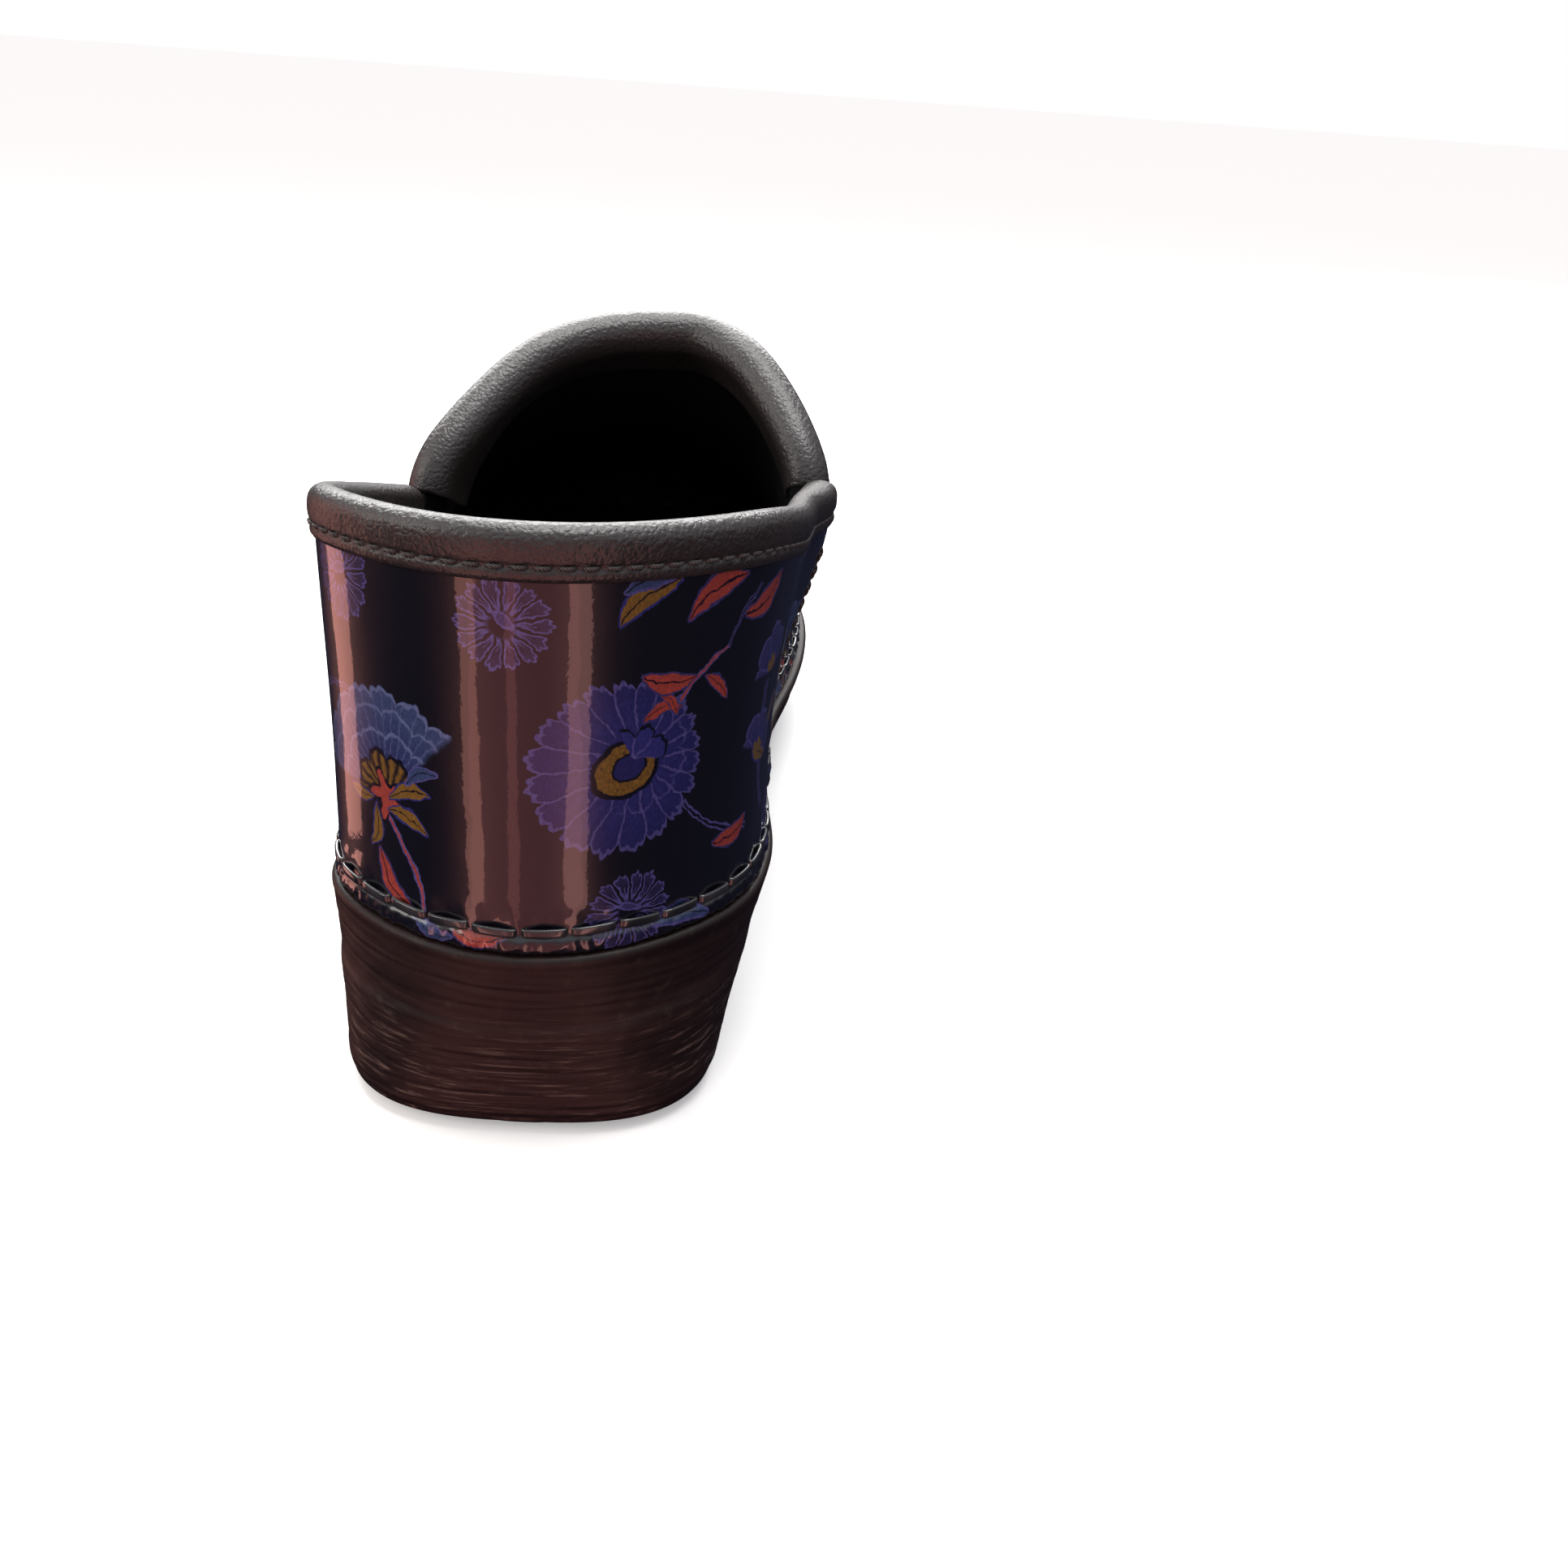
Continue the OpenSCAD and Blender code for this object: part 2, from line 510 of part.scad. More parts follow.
// Evenly spaced stations along a curve c(u), by its own length
function lengths(c, n) = [for (i = 0, s = 0; i <= n;
    s = s + (i < n ? norm(c((i + 1) / n) - c(i / n)) : 0), i = i + 1) [s, i / n]];
module stitches(face, h, reach, lift) {
    v = 1 - h / reach;
    marks = lengths(function (u) face(u, v), 80);
    total = marks[len(marks) - 1][0];
    count = floor((total - 2 * stitch_len) / stitch_pitch);
    for (k = [0 : count]) {
        u = lookup(stitch_len + k * stitch_pitch, marks);
        stitch(lifted(face, u, v, lift(u)), tangent_u(face, u, v), normal(face, u, v));
    }
}

module collar_stitches() {
    color([0.1, 0.09, 0.09]) placed()
        stitches(collar_face, collar_flange - 2.6, collar_reach,
            function (u) binding_t + seam_step(heel_y(u, seam_y)));
}

module vamp_binding_stitches() {
    color([0.1, 0.09, 0.09]) placed()
        stitches(throat_face, throat_flange - 2.4, throat_reach, function (u) binding_t);
}

// Side seams: a band of the wall beside the seam, u along the shoe and v up
function seam_band(side, from, to, low, drop) = function (u, v)
    let (y = side > 0 ? mix(from, to, u) : mix(to, from, u))
    wall_pt(y, mix(feather(y) + low, topline(seam_y, side) - drop, v), side);
module seam_tape(side) {
    color([0.33, 0.33, 0.35]) placed()
        sheet(seam_band(side, seam_y - 7, seam_y + 6, 14, 16), 6, 8,
            function (u, v) inside_n - skin_gap, function (u, v) inside_n - 0.6);
}

module lateral_seam_tape() {
    seam_tape(-1);
}

module medial_seam_tape() {
    seam_tape(1);
}

// Two rows of stitches down each side seam, through quarter and vamp
module seam_stitches(side) {
    band = seam_band(side, seam_y - 5, seam_y - 2, 8, 12);
    rise = norm(band(0, 1) - band(0, 0));
    count = floor(rise / stitch_pitch);
    color([0.1, 0.09, 0.09]) placed()
        for (row = [0, 1], k = [0 : count - 1]) {
            v = (k + 0.5) / count;
            y = band(row, v)[1];
            stitch(lifted(band, row, v, seam_step(y)), tangent_v(band, row, v), normal(band, row, v));
        }
}

module lateral_seam_stitches() {
    seam_stitches(-1);
}

module medial_seam_stitches() {
    seam_stitches(1);
}

// One staple: crown along X on the leather's face, legs along +Y into the frame
module staple() {
    translate([0, 0, -staple_w / 2]) linear_extrude(staple_w) difference() {
        translate([-staple_len / 2, -staple_t]) square([staple_len, staple_leg + staple_t]);
        translate([-staple_len / 2 + staple_t, 0]) square([staple_len - 2 * staple_t, staple_leg + 1]);
    }
}

module welt_staples() {
    rise = staple_rise / 10;
    face = loop_face(10);
    marks = lengths(function (t) face(t, rise), 160);
    pitch = marks[len(marks) - 1][0] / staple_count;
    color([0.08, 0.08, 0.08]) placed()
        for (k = [0 : staple_count - 1]) {
            t = lookup((k + 0.5) * pitch, marks);
            y = loop_y(t);
            out = normal(face, t, rise);
            way = unit(tangent_u(face, t, rise));
            translate(face(t, rise) + out * (y < seam_y ? seam_step(y) : 0))
                rotate([-asin(out[2]), -asin(way[2]), atan2(way[1], way[0])]) staple();
        }
}

outsole();
heel_tread_pad();
forefoot_tread_pad();
midsole_frame();
shank();
heel_cushion();
footbed_foam();
sock_liner();
vamp();
back_quarter();
vamp_lining();
quarter_lining();
toe_puff();
vamp_backer();
heel_counter();
instep_pad();
collar_pad();
vamp_binding();
collar_binding();
vamp_binding_stitches();
collar_stitches();
lateral_seam_tape();
medial_seam_tape();
lateral_seam_stitches();
medial_seam_stitches();
welt_staples();
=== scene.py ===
"""Closed-back clog, left shoe: patent floral upper stapled to a layered brown sole.

Shapes are worked out in millimetres, with stations measured from the back of the heel towards the
toe, the same way round as the frame: +Y toe, +X inner side of the foot, +Z up. They become metres
in the frame's coordinates in one place, place().
"""
import math

import bpy
import numpy as np
from mathutils import Matrix, Vector


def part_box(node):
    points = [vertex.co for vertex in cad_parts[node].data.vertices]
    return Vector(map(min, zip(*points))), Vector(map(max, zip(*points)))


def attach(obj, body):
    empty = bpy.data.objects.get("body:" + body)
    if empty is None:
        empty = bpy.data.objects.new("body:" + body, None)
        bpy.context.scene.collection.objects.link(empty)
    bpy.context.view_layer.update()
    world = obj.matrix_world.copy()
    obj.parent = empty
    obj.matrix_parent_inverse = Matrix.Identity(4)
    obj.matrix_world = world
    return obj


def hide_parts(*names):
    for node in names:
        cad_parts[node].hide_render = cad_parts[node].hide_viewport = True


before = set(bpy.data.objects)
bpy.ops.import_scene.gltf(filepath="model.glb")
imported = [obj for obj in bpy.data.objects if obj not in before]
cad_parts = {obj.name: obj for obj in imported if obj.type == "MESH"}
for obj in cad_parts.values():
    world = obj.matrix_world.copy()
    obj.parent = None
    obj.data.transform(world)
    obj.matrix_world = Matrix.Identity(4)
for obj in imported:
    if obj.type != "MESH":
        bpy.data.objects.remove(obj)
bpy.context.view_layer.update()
ROOT = "root"
MM = 0.001

# ---------------------------------------------------------------- driving dimensions, mm
UPPER_LEN = 254.0
COLLAR_HEIGHT = 107.0
THROAT_PEAK = 122.0
SEAM_Y = 88.0
LEATHER_T, LINING_T, FILLER_T, BINDING_T = 1.6, 1.0, 1.1, 0.8
COLLAR_R, THROAT_R = 2.7, 4.5
COLLAR_FLANGE, THROAT_FLANGE = 5.6, 8.0
STITCH_LEN, STITCH_PITCH = 2.6, 3.4
STITCH_UP, STITCH_SINK = 2.3, 0.25
STAPLE_COUNT, STAPLE_LEN, STAPLE_RISE = 76, 6.8, 4.3
STAPLE_HALF_W, STAPLE_HALF_T = 0.8, 0.4
LIP_HEEL, LIP_TOE = 1.5, 3.0
FRAME_RISE, FOAM_T, LINER_T = 6.5, 5.0, 1.2
SECTION_POWER, TOE_POWER, TOE_ROUND = 2.4, 2.3, 46.0
FULLNESS = {-1: 2.2, 1: 1.9}
FLARE_FROM, FLARE_RUN = 0.12, 0.55
TUCK = 6.0
INSIDE_N = -(LEATHER_T + FILLER_T + LINING_T)
LINING_N = -(LEATHER_T + FILLER_T)

# Stations along the shoe: (distance from the heel, value)
FEATHER = [(0, 36), (40, 34.5), (80, 31), (110, 27), (140, 23.5), (170, 22), (200, 22.5),
           (230, 25.5), (254, 29.5)]
DOME = [(0, 190), (40, 150), (80, 113), (100, 99), (118, 94.5), (140, 85.5), (160, 73.5),
        (180, 63), (200, 55), (225, 48), (254, 44)]
WIDTH = {-1: [(0, 61), (20, 60), (40, 49), (70, 40.2), (100, 38.2), (130, 42.5), (160, 49.8),
              (180, 54.2), (205, 60), (230, 66.5), (254, 70)],
         1: [(0, 61), (20, 61), (40, 53), (70, 40), (100, 34), (130, 36.5), (160, 45.4),
             (180, 52), (205, 60.5), (230, 68), (254, 70)]}
FLARE = {-1: [(0, 4), (40, 7), (85, 11), (120, 6.5), (160, 4), (200, 2.5), (254, 1.5)],
         1: [(0, 4), (40, 11), (85, 17.2), (105, 17), (130, 9), (160, 3.5), (200, 2), (254, 1.5)]}
CENTRE = [(0, 0), (45, 0.5), (100, 5.4), (130, 4.4), (160, 2.2), (200, 1), (254, 3.5)]
RIDGE = [(0, 0), (60, 1.5), (110, 12.5), (150, 12), (200, 7), (254, 3)]
TOP_DROP = {-1: [(0, 0), (25, 3), (50, 9.5), (88, 20)], 1: [(0, 0), (25, 3), (50, 8.5), (88, 14)]}
UNDER = [(-2, 1.4), (6, 1.4), (60, 1.4), (73, 2), (84, 7.6), (95, 13.5), (108, 15.5), (125, 11.3),
         (140, 5.6), (160, 2.1), (178, 1.4), (195, 2.1), (225, 6.4), (258, 14.5)]
BASE = {-1: [(-2, 33.4), (50, 33.4), (75, 31.5), (100, 31), (135, 39), (180, 46), (220, 46),
             (258, 44)],
        1: [(-2, 32), (50, 32), (75, 29.5), (100, 27), (135, 33), (180, 44), (220, 45),
            (258, 44)]}
BASE_BACK, BASE_FRONT = 0.4, 257.0
BACK_ROUND, BACK_POWER, FRONT_ROUND, FRONT_POWER = 28.0, 2.8, 62.0, 2.2


# ---------------------------------------------------------------- the last's surface
def spline(table, y):
    """Cubic Hermite curve through a table of stations."""
    x, v = np.array(table, float).T
    m = np.gradient(v, x, edge_order=1)
    m[1:-1] = (v[2:] - v[:-2]) / (x[2:] - x[:-2])
    y = np.asarray(y, float)
    i = np.clip(np.searchsorted(x, y) - 1, 0, len(x) - 2)
    h = x[i + 1] - x[i]
    t = np.clip((y - x[i]) / h, 0, 1)
    return ((2 * t**3 - 3 * t**2 + 1) * v[i] + (t**3 - 2 * t**2 + t) * h * m[i]
            + (3 * t**2 - 2 * t**3) * v[i + 1] + (t**3 - t**2) * h * m[i + 1])


def smooth(t):
    t = np.clip(t, 0, 1)
    return t * t * (3 - 2 * t)


def mix(a, b, t):
    return a + (b - a) * t


def sided(tables, y, side):
    return np.where(side < 0, spline(tables[-1], y), spline(tables[1], y))


def feather(y):
    return spline(FEATHER, y)


def dome(y):
    u = np.clip((y - UPPER_LEN + TOE_ROUND) / TOE_ROUND, 0, 1)
    return spline(DOME, y) * (1 - u**TOE_POWER) ** (1 / TOE_POWER)


def end_round(y):
    return np.sqrt(np.maximum(0, 1 - (1 - 2 * y / UPPER_LEN) ** 2))


def upper_pt(y, s, side):
    """Outer surface of the upper at station y, fraction s of the section's height."""
    e = end_round(y)
    power = np.where(np.asarray(side) < 0, FULLNESS[-1], FULLNESS[1])
    c = np.maximum(0, 1 - s**SECTION_POWER) ** (1 / power)
    flare = sided(FLARE, y, side) * smooth((s - FLARE_FROM) / FLARE_RUN) * np.sin(np.pi / 2 * e)
    x = (spline(CENTRE, y) + spline(RIDGE, y) * e * (1 - c)
         + side * (sided(WIDTH, y, side) * e + flare) * c)
    return np.stack([x, y + 0 * x, feather(y) + dome(y) * s], -1)


def wall_pt(y, z, side):
    return upper_pt(y, np.clip((z - feather(y)) / dome(y), 0, 0.999), side)


def arch_pt(y, phi):
    return upper_pt(y, np.sin(phi) ** (2 / SECTION_POWER), np.where(phi < np.pi / 2, -1, 1))


def arch_angle(y, rise):
    return np.arcsin(np.minimum(0.999, rise / dome(y)) ** (SECTION_POWER / 2))


def topline(y, side):
    return COLLAR_HEIGHT - sided(TOP_DROP, y, side)


def heel_y(u, front):
    return front * (1 - np.cos(np.pi / 2 * np.abs(2 * u - 1)))


def heel_side(u):
    return np.where(u < 0.5, -1, 1)


def seam_step(y):
    return (LEATHER_T + 0.05) * smooth((y - SEAM_Y + 26) / 20)


def loop_y(t):
    return UPPER_LEN / 2 * (1 - np.cos(2 * np.pi * t))


def loop_pt(t, rise):
    """The lower wall as one loop: t runs from the heel round the inner side, rise in mm."""
    y = loop_y(t)
    s = np.minimum(0.9, rise / dome(np.minimum(y, UPPER_LEN - 1)))
    p = upper_pt(y, s, np.where(t % 1 < 0.5, 1, -1))
    return np.stack([p[..., 0], p[..., 1], feather(y) + rise + 0 * y], -1)


def normals(surface, u, v, step=0.002):
    """Unit normals of surface(u, v), by differences."""
    du = surface(np.minimum(u + step, 1), v) - surface(np.maximum(u - step, 0), v)
    dv = surface(u, np.minimum(v + step, 1)) - surface(u, np.maximum(v - step, 0))
    n = np.cross(du, dv)
    return n / np.maximum(np.linalg.norm(n, axis=-1, keepdims=True), 1e-9)


def lifted(surface, u, v, n):
    return surface(u, v) + np.asarray(n)[..., None] * normals(surface, u, v)


def arc_length(points):
    """Distance travelled along a row of points."""
    return np.r_[0, np.cumsum(np.linalg.norm(np.diff(points, axis=0), axis=1))]


# Length round the feather line, so that staples and puckers share one rhythm
LOOP_T = np.linspace(0, 1, 1601)
LOOP_S = arc_length(loop_pt(LOOP_T, STAPLE_RISE))
STAPLE_PITCH = LOOP_S[-1] / STAPLE_COUNT


def loop_t_of(y, side):
    t = np.arccos(np.clip(1 - 2 * y / UPPER_LEN, -1, 1)) / (2 * np.pi)
    return np.where(side > 0, t, 1 - t)


def wobble(*values):
    """Smooth, repeatable unevenness between -1 and 1 from any number of phases."""
    total = 0
    for k, value in enumerate(values):
        total = total + np.sin(value * (1 + 0.37 * k) + 1.7 * k) * np.cos(0.61 * value + 2.3 * k)
    return total / len(values)


def pucker(y, rise, side):
    """How far the lasted leather's margin swells and dents around the staples."""
    s = np.interp(loop_t_of(y, side), LOOP_T, LOOP_S)
    phase = s / STAPLE_PITCH
    gap = 0.5 + 0.5 * np.cos(2 * np.pi * phase)
    crumple = wobble(s * 1.9, s * 3.1 + rise, s * 0.8 - rise * 1.3)
    bead = np.sqrt(np.clip(1 - ((rise - 1.7) / 1.9) ** 2, 0, 1))
    row = np.exp(-((rise - STAPLE_RISE) / 1.1) ** 2)
    above = np.exp(-((rise - STAPLE_RISE - 2.4) / 1.6) ** 2)
    return (bead * (0.75 + 0.25 * gap + 0.4 * crumple) - row * (0.4 - 0.6 * gap)
            + above * (0.22 * gap + 0.08 * crumple) - 0.4 * (1 - smooth(rise / 0.7)))


# ---------------------------------------------------------------- meshes
outsole_low = np.array(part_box("outsole")[0]) / MM


def lip_pt(t):
    out = mix(LIP_HEEL, LIP_TOE, smooth(loop_y(t) / UPPER_LEN))
    return lifted(lambda a, b: loop_pt(a, 10 * b), t, 0 * t, out)


def shift():
    """From stations to the frame: the sole's lip sits where the CAD outsole's box says."""
    lip = lip_pt(np.linspace(0.001, 0.999, 999))
    return np.array([outsole_low[0] - lip[:, 0].min(), outsole_low[1] - lip[:, 1].min(), 0])


OFFSET = shift()


def place(points):
    return (np.asarray(points, float).reshape(-1, 3) + OFFSET) * MM


def add_mesh(name, points, faces, values=None):
    """A mesh object from points in mm. values: vertex vectors by attribute name."""
    mesh = bpy.data.meshes.new(name)
    mesh.from_pydata(place(points).tolist(), [], [list(map(int, f)) for f in faces])
    for key, data in (values or {}).items():
        layer = mesh.attributes.new(key, "FLOAT_VECTOR", "POINT")
        layer.data.foreach_set("vector", np.asarray(data, np.float32).ravel())
    mesh.validate()
    mesh.shade_smooth()
    piece = bpy.data.objects.new(name, mesh)
    bpy.context.scene.collection.objects.link(piece)
    return piece


def grid_faces(nu, nv, start=0, flip=False):
    """Quads of a grid with nu + 1 by nv + 1 points, facing along du x dv."""
    i, j = np.meshgrid(np.arange(nu), np.arange(nv), indexing="ij")
    a = start + i * (nv + 1) + j
    quads = np.stack([a, a + nv + 1, a + nv + 2, a + 1], -1).reshape(-1, 4)
    return quads[:, ::-1] if flip else quads


def tube_faces(rings, n, start=0):
    """Quads between stacked closed rings of n points each."""
    k, i = np.meshgrid(np.arange(rings - 1), np.arange(n), indexing="ij")
    a, b = start + k * n + i, start + k * n + (i + 1) % n
    return [tuple(quad) for quad in np.stack([a, b, b + n, a + n], -1).reshape(-1, 4)]


def shell_faces(nu, nv, tip=False):
    """Faces of a closed skin between two grids; with tip the last column closes across."""
    size = (nu + 1) * (nv + 1)
    faces = [*grid_faces(nu, nv), *grid_faces(nu, nv, size, True)]

    def rim(ids):
        for a, b in zip(ids[:-1], ids[1:]):
            faces.append((b, a, a + size, b + size))

    near = [i * (nv + 1) for i in range(nu + 1)]
    far = [i * (nv + 1) + nv for i in range(nu + 1)]
    rim(near)
    rim(list(range(nv, -1, -1)))
    rim(list(range(nu * (nv + 1), nu * (nv + 1) + nv + 1)))
    if not tip:
        rim(far[::-1])
        return faces
    half = nu // 2
    faces.append((far[0], far[-1], far[-1] + size, far[0] + size))
    for i in range(half - 1):
        quad = (far[i], far[i + 1], far[nu - i - 1], far[nu - i])
        faces.append(quad)
        faces.append(tuple(k + size for k in quad[::-1]))
    peak = (far[half - 1], far[half], far[half + 1])
    faces.append(peak)
    faces.append(tuple(k + size for k in peak[::-1]))
    return faces


def add_shell(name, outer, inner, tip=False, values=None):
    nu, nv = outer.shape[0] - 1, outer.shape[1] - 1
    points = np.concatenate([outer.reshape(-1, 3), inner.reshape(-1, 3)])
    doubled = {k: np.concatenate([v.reshape(-1, 3)] * 2) for k, v in (values or {}).items()}
    return add_mesh(name, points, shell_faces(nu, nv, tip), doubled)


def finish_piece(piece, material, slot, *nodes):
    """Gives a piece its material and its body, and hides the CAD nodes it stands for; slot is not used.
    """
    piece.data.materials.append(material)
    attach(piece, ROOT)
    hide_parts(*nodes)
    return piece


# ---------------------------------------------------------------- the printed upper
def heel_surface(front, low, drop):
    def surface(u, v):
        y, side = heel_y(u, front), heel_side(u)
        return wall_pt(y, mix(feather(y) + low, topline(y, side) - drop, v), side)
    return surface


def notch(phi):
    side = np.where(phi < np.pi / 2, -1, 1)
    return arch_angle(SEAM_Y, topline(SEAM_Y, side) - feather(SEAM_Y))


def throat_y(phi):
    low = notch(phi)
    t = np.clip((np.minimum(phi, np.pi - phi) - low) / (np.pi / 2 - low), 0, 1)
    return mix(SEAM_Y + 2, THROAT_PEAK, np.sin(np.pi / 2 * t) ** 1.3)


def vamp_edge(start):
    rise_over = math.radians(5)

    def edge(phi):
        up = smooth((np.minimum(phi, np.pi - phi) - notch(phi) + rise_over) / rise_over)
        return mix(start, throat_y(phi) + THROAT_R, up)
    return edge


def vamp_surface(edge_of, to, low):
    def surface(u, v):
        first = np.arccos(1 - 2 * edge_of(np.pi * u) / UPPER_LEN)
        last = np.arccos(1 - 2 * to / UPPER_LEN)
        y = UPPER_LEN / 2 * (1 - np.cos(mix(first, last, v)))
        edge = arch_angle(y, low)
        return arch_pt(y, mix(edge, np.pi - edge, u))
    return surface


def grid(us, vs):
    return np.meshgrid(us, vs, indexing="ij")


def two_sided(count, power):
    """Parameters from 0 to 1, crowded towards both ends."""
    half = 0.5 * np.linspace(0, 1, count + 1) ** power
    return np.r_[half, 1 - half[-2::-1]]


def quarter_piece(material):
    low_rows = np.linspace(0, 0.2, 27)
    u, v = grid(np.linspace(0, 1, 321), np.r_[low_rows[:-1], np.linspace(0.2, 1, 27)])
    surface = heel_surface(SEAM_Y, 0, COLLAR_R)
    y, side = heel_y(u, SEAM_Y), heel_side(u)
    base = surface(u, v)
    rise = base[..., 2] - feather(y)
    lift = seam_step(y)
    outer = lifted(surface, u, v, lift + pucker(y, rise, side))
    inner = lifted(surface, u, v, lift - LEATHER_T)
    across = arc_length(surface(u[:, 0], np.full(len(u), 0.5)))
    across -= across[len(across) // 2]
    print_mm = np.stack([across[:, None] + 0 * u, rise, 0 * u], -1)
    piece = add_shell("quarter_leather", outer, inner, values={"print_mm": print_mm})
    return finish_piece(piece, material, "patent_leather", "back_quarter")


PRINT_TURN = 52.0


def vamp_piece(material):
    tip = UPPER_LEN - 0.05
    u, v = grid(two_sided(46, 1.9), np.linspace(0, 1, 281))
    surface = vamp_surface(vamp_edge(SEAM_Y - TUCK), tip, 0)
    base = surface(u, v)
    y, side = base[..., 1], np.where(u < 0.5, -1, 1)
    rise = base[..., 2] - feather(y)
    low_wall = np.minimum(1, dome(y) / 12)
    outer = lifted(surface, u, v, pucker(y, rise, side) * low_wall)
    inner = lifted(surface, u, v, -LEATHER_T)
    middle = len(u) // 2
    steps = np.linalg.norm(np.diff(base, axis=0), axis=-1)
    across = np.concatenate([np.zeros((1, u.shape[1])), np.cumsum(steps, axis=0)])
    across -= across[middle]
    ridge = arc_length(base[middle])
    along = np.interp(y, base[middle][:, 1], ridge)
    print_mm = np.stack([across, PRINT_TURN - along, 0 * u], -1)
    piece = add_shell("vamp_leather", outer, inner, tip=True, values={"print_mm": print_mm})
    return finish_piece(piece, material, "patent_leather", "vamp")


def lining_pieces(material):
    low = FRAME_RISE + 0.5
    u, v = grid(np.linspace(0, 1, 121), np.linspace(0, 1, 33))
    surface = heel_surface(SEAM_Y - 0.4, low, COLLAR_R)
    slack = 0.25 * wobble(u * 31, v * 9 + u * 12) * np.sin(np.pi * v)
    quarter = add_shell("quarter_lining_cloth", lifted(surface, u, v, LINING_N),
                        lifted(surface, u, v, INSIDE_N + slack))
    finish_piece(quarter, material, "lining", "quarter_lining")
    u, v = grid(np.linspace(0, 1, 81), np.linspace(0, 1, 81))
    surface = vamp_surface(vamp_edge(SEAM_Y + 0.4), UPPER_LEN - 2.2, low)
    slack = 0.3 * wobble(u * 17 + v * 5, v * 23) * np.sin(np.pi * u)
    vamp = add_shell("vamp_lining_cloth", lifted(surface, u, v, LINING_N),
                     lifted(surface, u, v, INSIDE_N + slack), tip=True)
    finish_piece(vamp, material, "lining", "vamp_lining")


# ---------------------------------------------------------------- rolled bindings and thread
def collar_surface(reach):
    def surface(u, v):
        y, side = heel_y(u, SEAM_Y), heel_side(u)
        return wall_pt(y, topline(y, side) - COLLAR_R - (1 - v) * reach, side)
    return surface


def throat_surface(reach):
    def surface(u, v):
        phi = mix(np.pi - notch(np.pi), notch(0.0), u)
        return arch_pt(throat_y(phi) + THROAT_R + (1 - v) * reach, phi)
    return surface


REACH = 40.0


def rolled(surface, u, n, h):
    """Points n out from the leather and h past the roll's centre, over a rolled edge."""
    one = np.ones_like(u)
    out = normals(surface, u, one, 0.004)
    up = surface(u, one) - surface(u, one - 0.004)
    up /= np.linalg.norm(up, axis=-1, keepdims=True)
    above = surface(u, one) + n[..., None] * out + h[..., None] * up
    below = lifted(surface, u, np.clip(1 + h / REACH, 0, 1), n)
    return np.where((h < 0)[..., None], below, above)


def binding_path(radius, flange, inner_flange, inset):
    """The strip's section from its outer edge over the roll to its inner edge: n and h."""
    middle = BINDING_T - radius
    r = radius - inset
    outer_h = np.linspace(-flange, 0, 25)
    turn = np.linspace(0, np.pi, 22)[1:-1]
    inner_h = np.linspace(0, -inner_flange, 16)
    n = np.r_[middle + r + 0 * outer_h, middle + r * np.cos(turn), middle - r + 0 * inner_h]
    h = np.r_[outer_h, r * np.sin(turn), inner_h]
    return n, h


def binding_piece(name, surface, radius, flange, inner_flange, columns, lift_of):
    u = np.linspace(0, 1, columns + 1)
    s = arc_length(surface(u, np.ones_like(u)))
    grids = []
    for inset in (0, BINDING_T):
        n, h = binding_path(radius, flange, inner_flange, inset)
        us, ns = grid(u, n)
        hs = np.broadcast_to(h, us.shape)
        middle = BINDING_T - radius
        share = np.clip((ns - middle + radius) / (2 * radius - BINDING_T), 0, 1)
        ns = ns + lift_of(us) * share
        if inset == 0:
            outside = (ns > middle).astype(float)
            stitched = 0.5 + 0.5 * np.cos(2 * np.pi * s / STITCH_PITCH)[:, None]
            groove = np.exp(-((hs + flange - STITCH_UP) / 0.55) ** 2)
            lip = np.exp(-((hs + flange) / 0.45) ** 2)
            swell = np.exp(-((hs + flange - STITCH_UP - 2.2) / 1.3) ** 2)
            uneven = wobble(s * 0.11, s * 0.053)[:, None]
            pinch = wobble(s[:, None] * 2.1 + hs, s[:, None] * 0.9)
            ns = ns + outside * (-groove * (0.28 + 0.22 * stitched) - lip * 0.45
                                 + swell * (0.12 + 0.1 * pinch) + 0.12 * uneven)
        grids.append(rolled(surface, us, ns, hs))
    return add_shell(name, grids[0], grids[1])


def add_bars(name, paths, sides, half_w, half_t, ring=10, power=0.6):
    """Closed bars of rounded section: paths (k, m, 3), sides (k, 3) across each bar."""
    points, faces = [], []
    angle = np.linspace(0, 2 * np.pi, ring, endpoint=False)
    ca = np.sign(np.cos(angle)) * np.abs(np.cos(angle)) ** power
    sa = np.sign(np.sin(angle)) * np.abs(np.sin(angle)) ** power
    count = paths.shape[1]
    for path, side in zip(paths, sides):
        way = np.gradient(path, axis=0)
        up = np.cross(side, way)
        up /= np.linalg.norm(up, axis=1, keepdims=True)
        start = len(points) * ring
        rings = (path[:, None] + ca[None, :, None] * half_w * side
                 + sa[None, :, None] * half_t * up[:, None])
        points.extend(rings)
        faces += tube_faces(count, ring, start)
        faces.append(tuple(start + b for b in range(ring))[::-1])
        faces.append(tuple(start + (count - 1) * ring + b for b in range(ring)))
    return add_mesh(name, np.concatenate(points), faces)


def stitch_bars(name, centres, ways, outs, half_w=0.36, half_t=0.3):
    """Thread showing between needle holes: each stitch dives into the leather at both ends."""
    t = np.linspace(-1, 1, 9)
    height = 0.22 - 0.75 * np.abs(t) ** 3
    paths = (centres[:, None] + (t * STITCH_LEN / 2)[None, :, None] * ways[:, None]
             + height[None, :, None] * outs[:, None])
    return add_bars(name, paths, np.cross(outs, ways), half_w, half_t, ring=8, power=1)


def unit(v):
    return v / np.linalg.norm(v, axis=-1, keepdims=True)


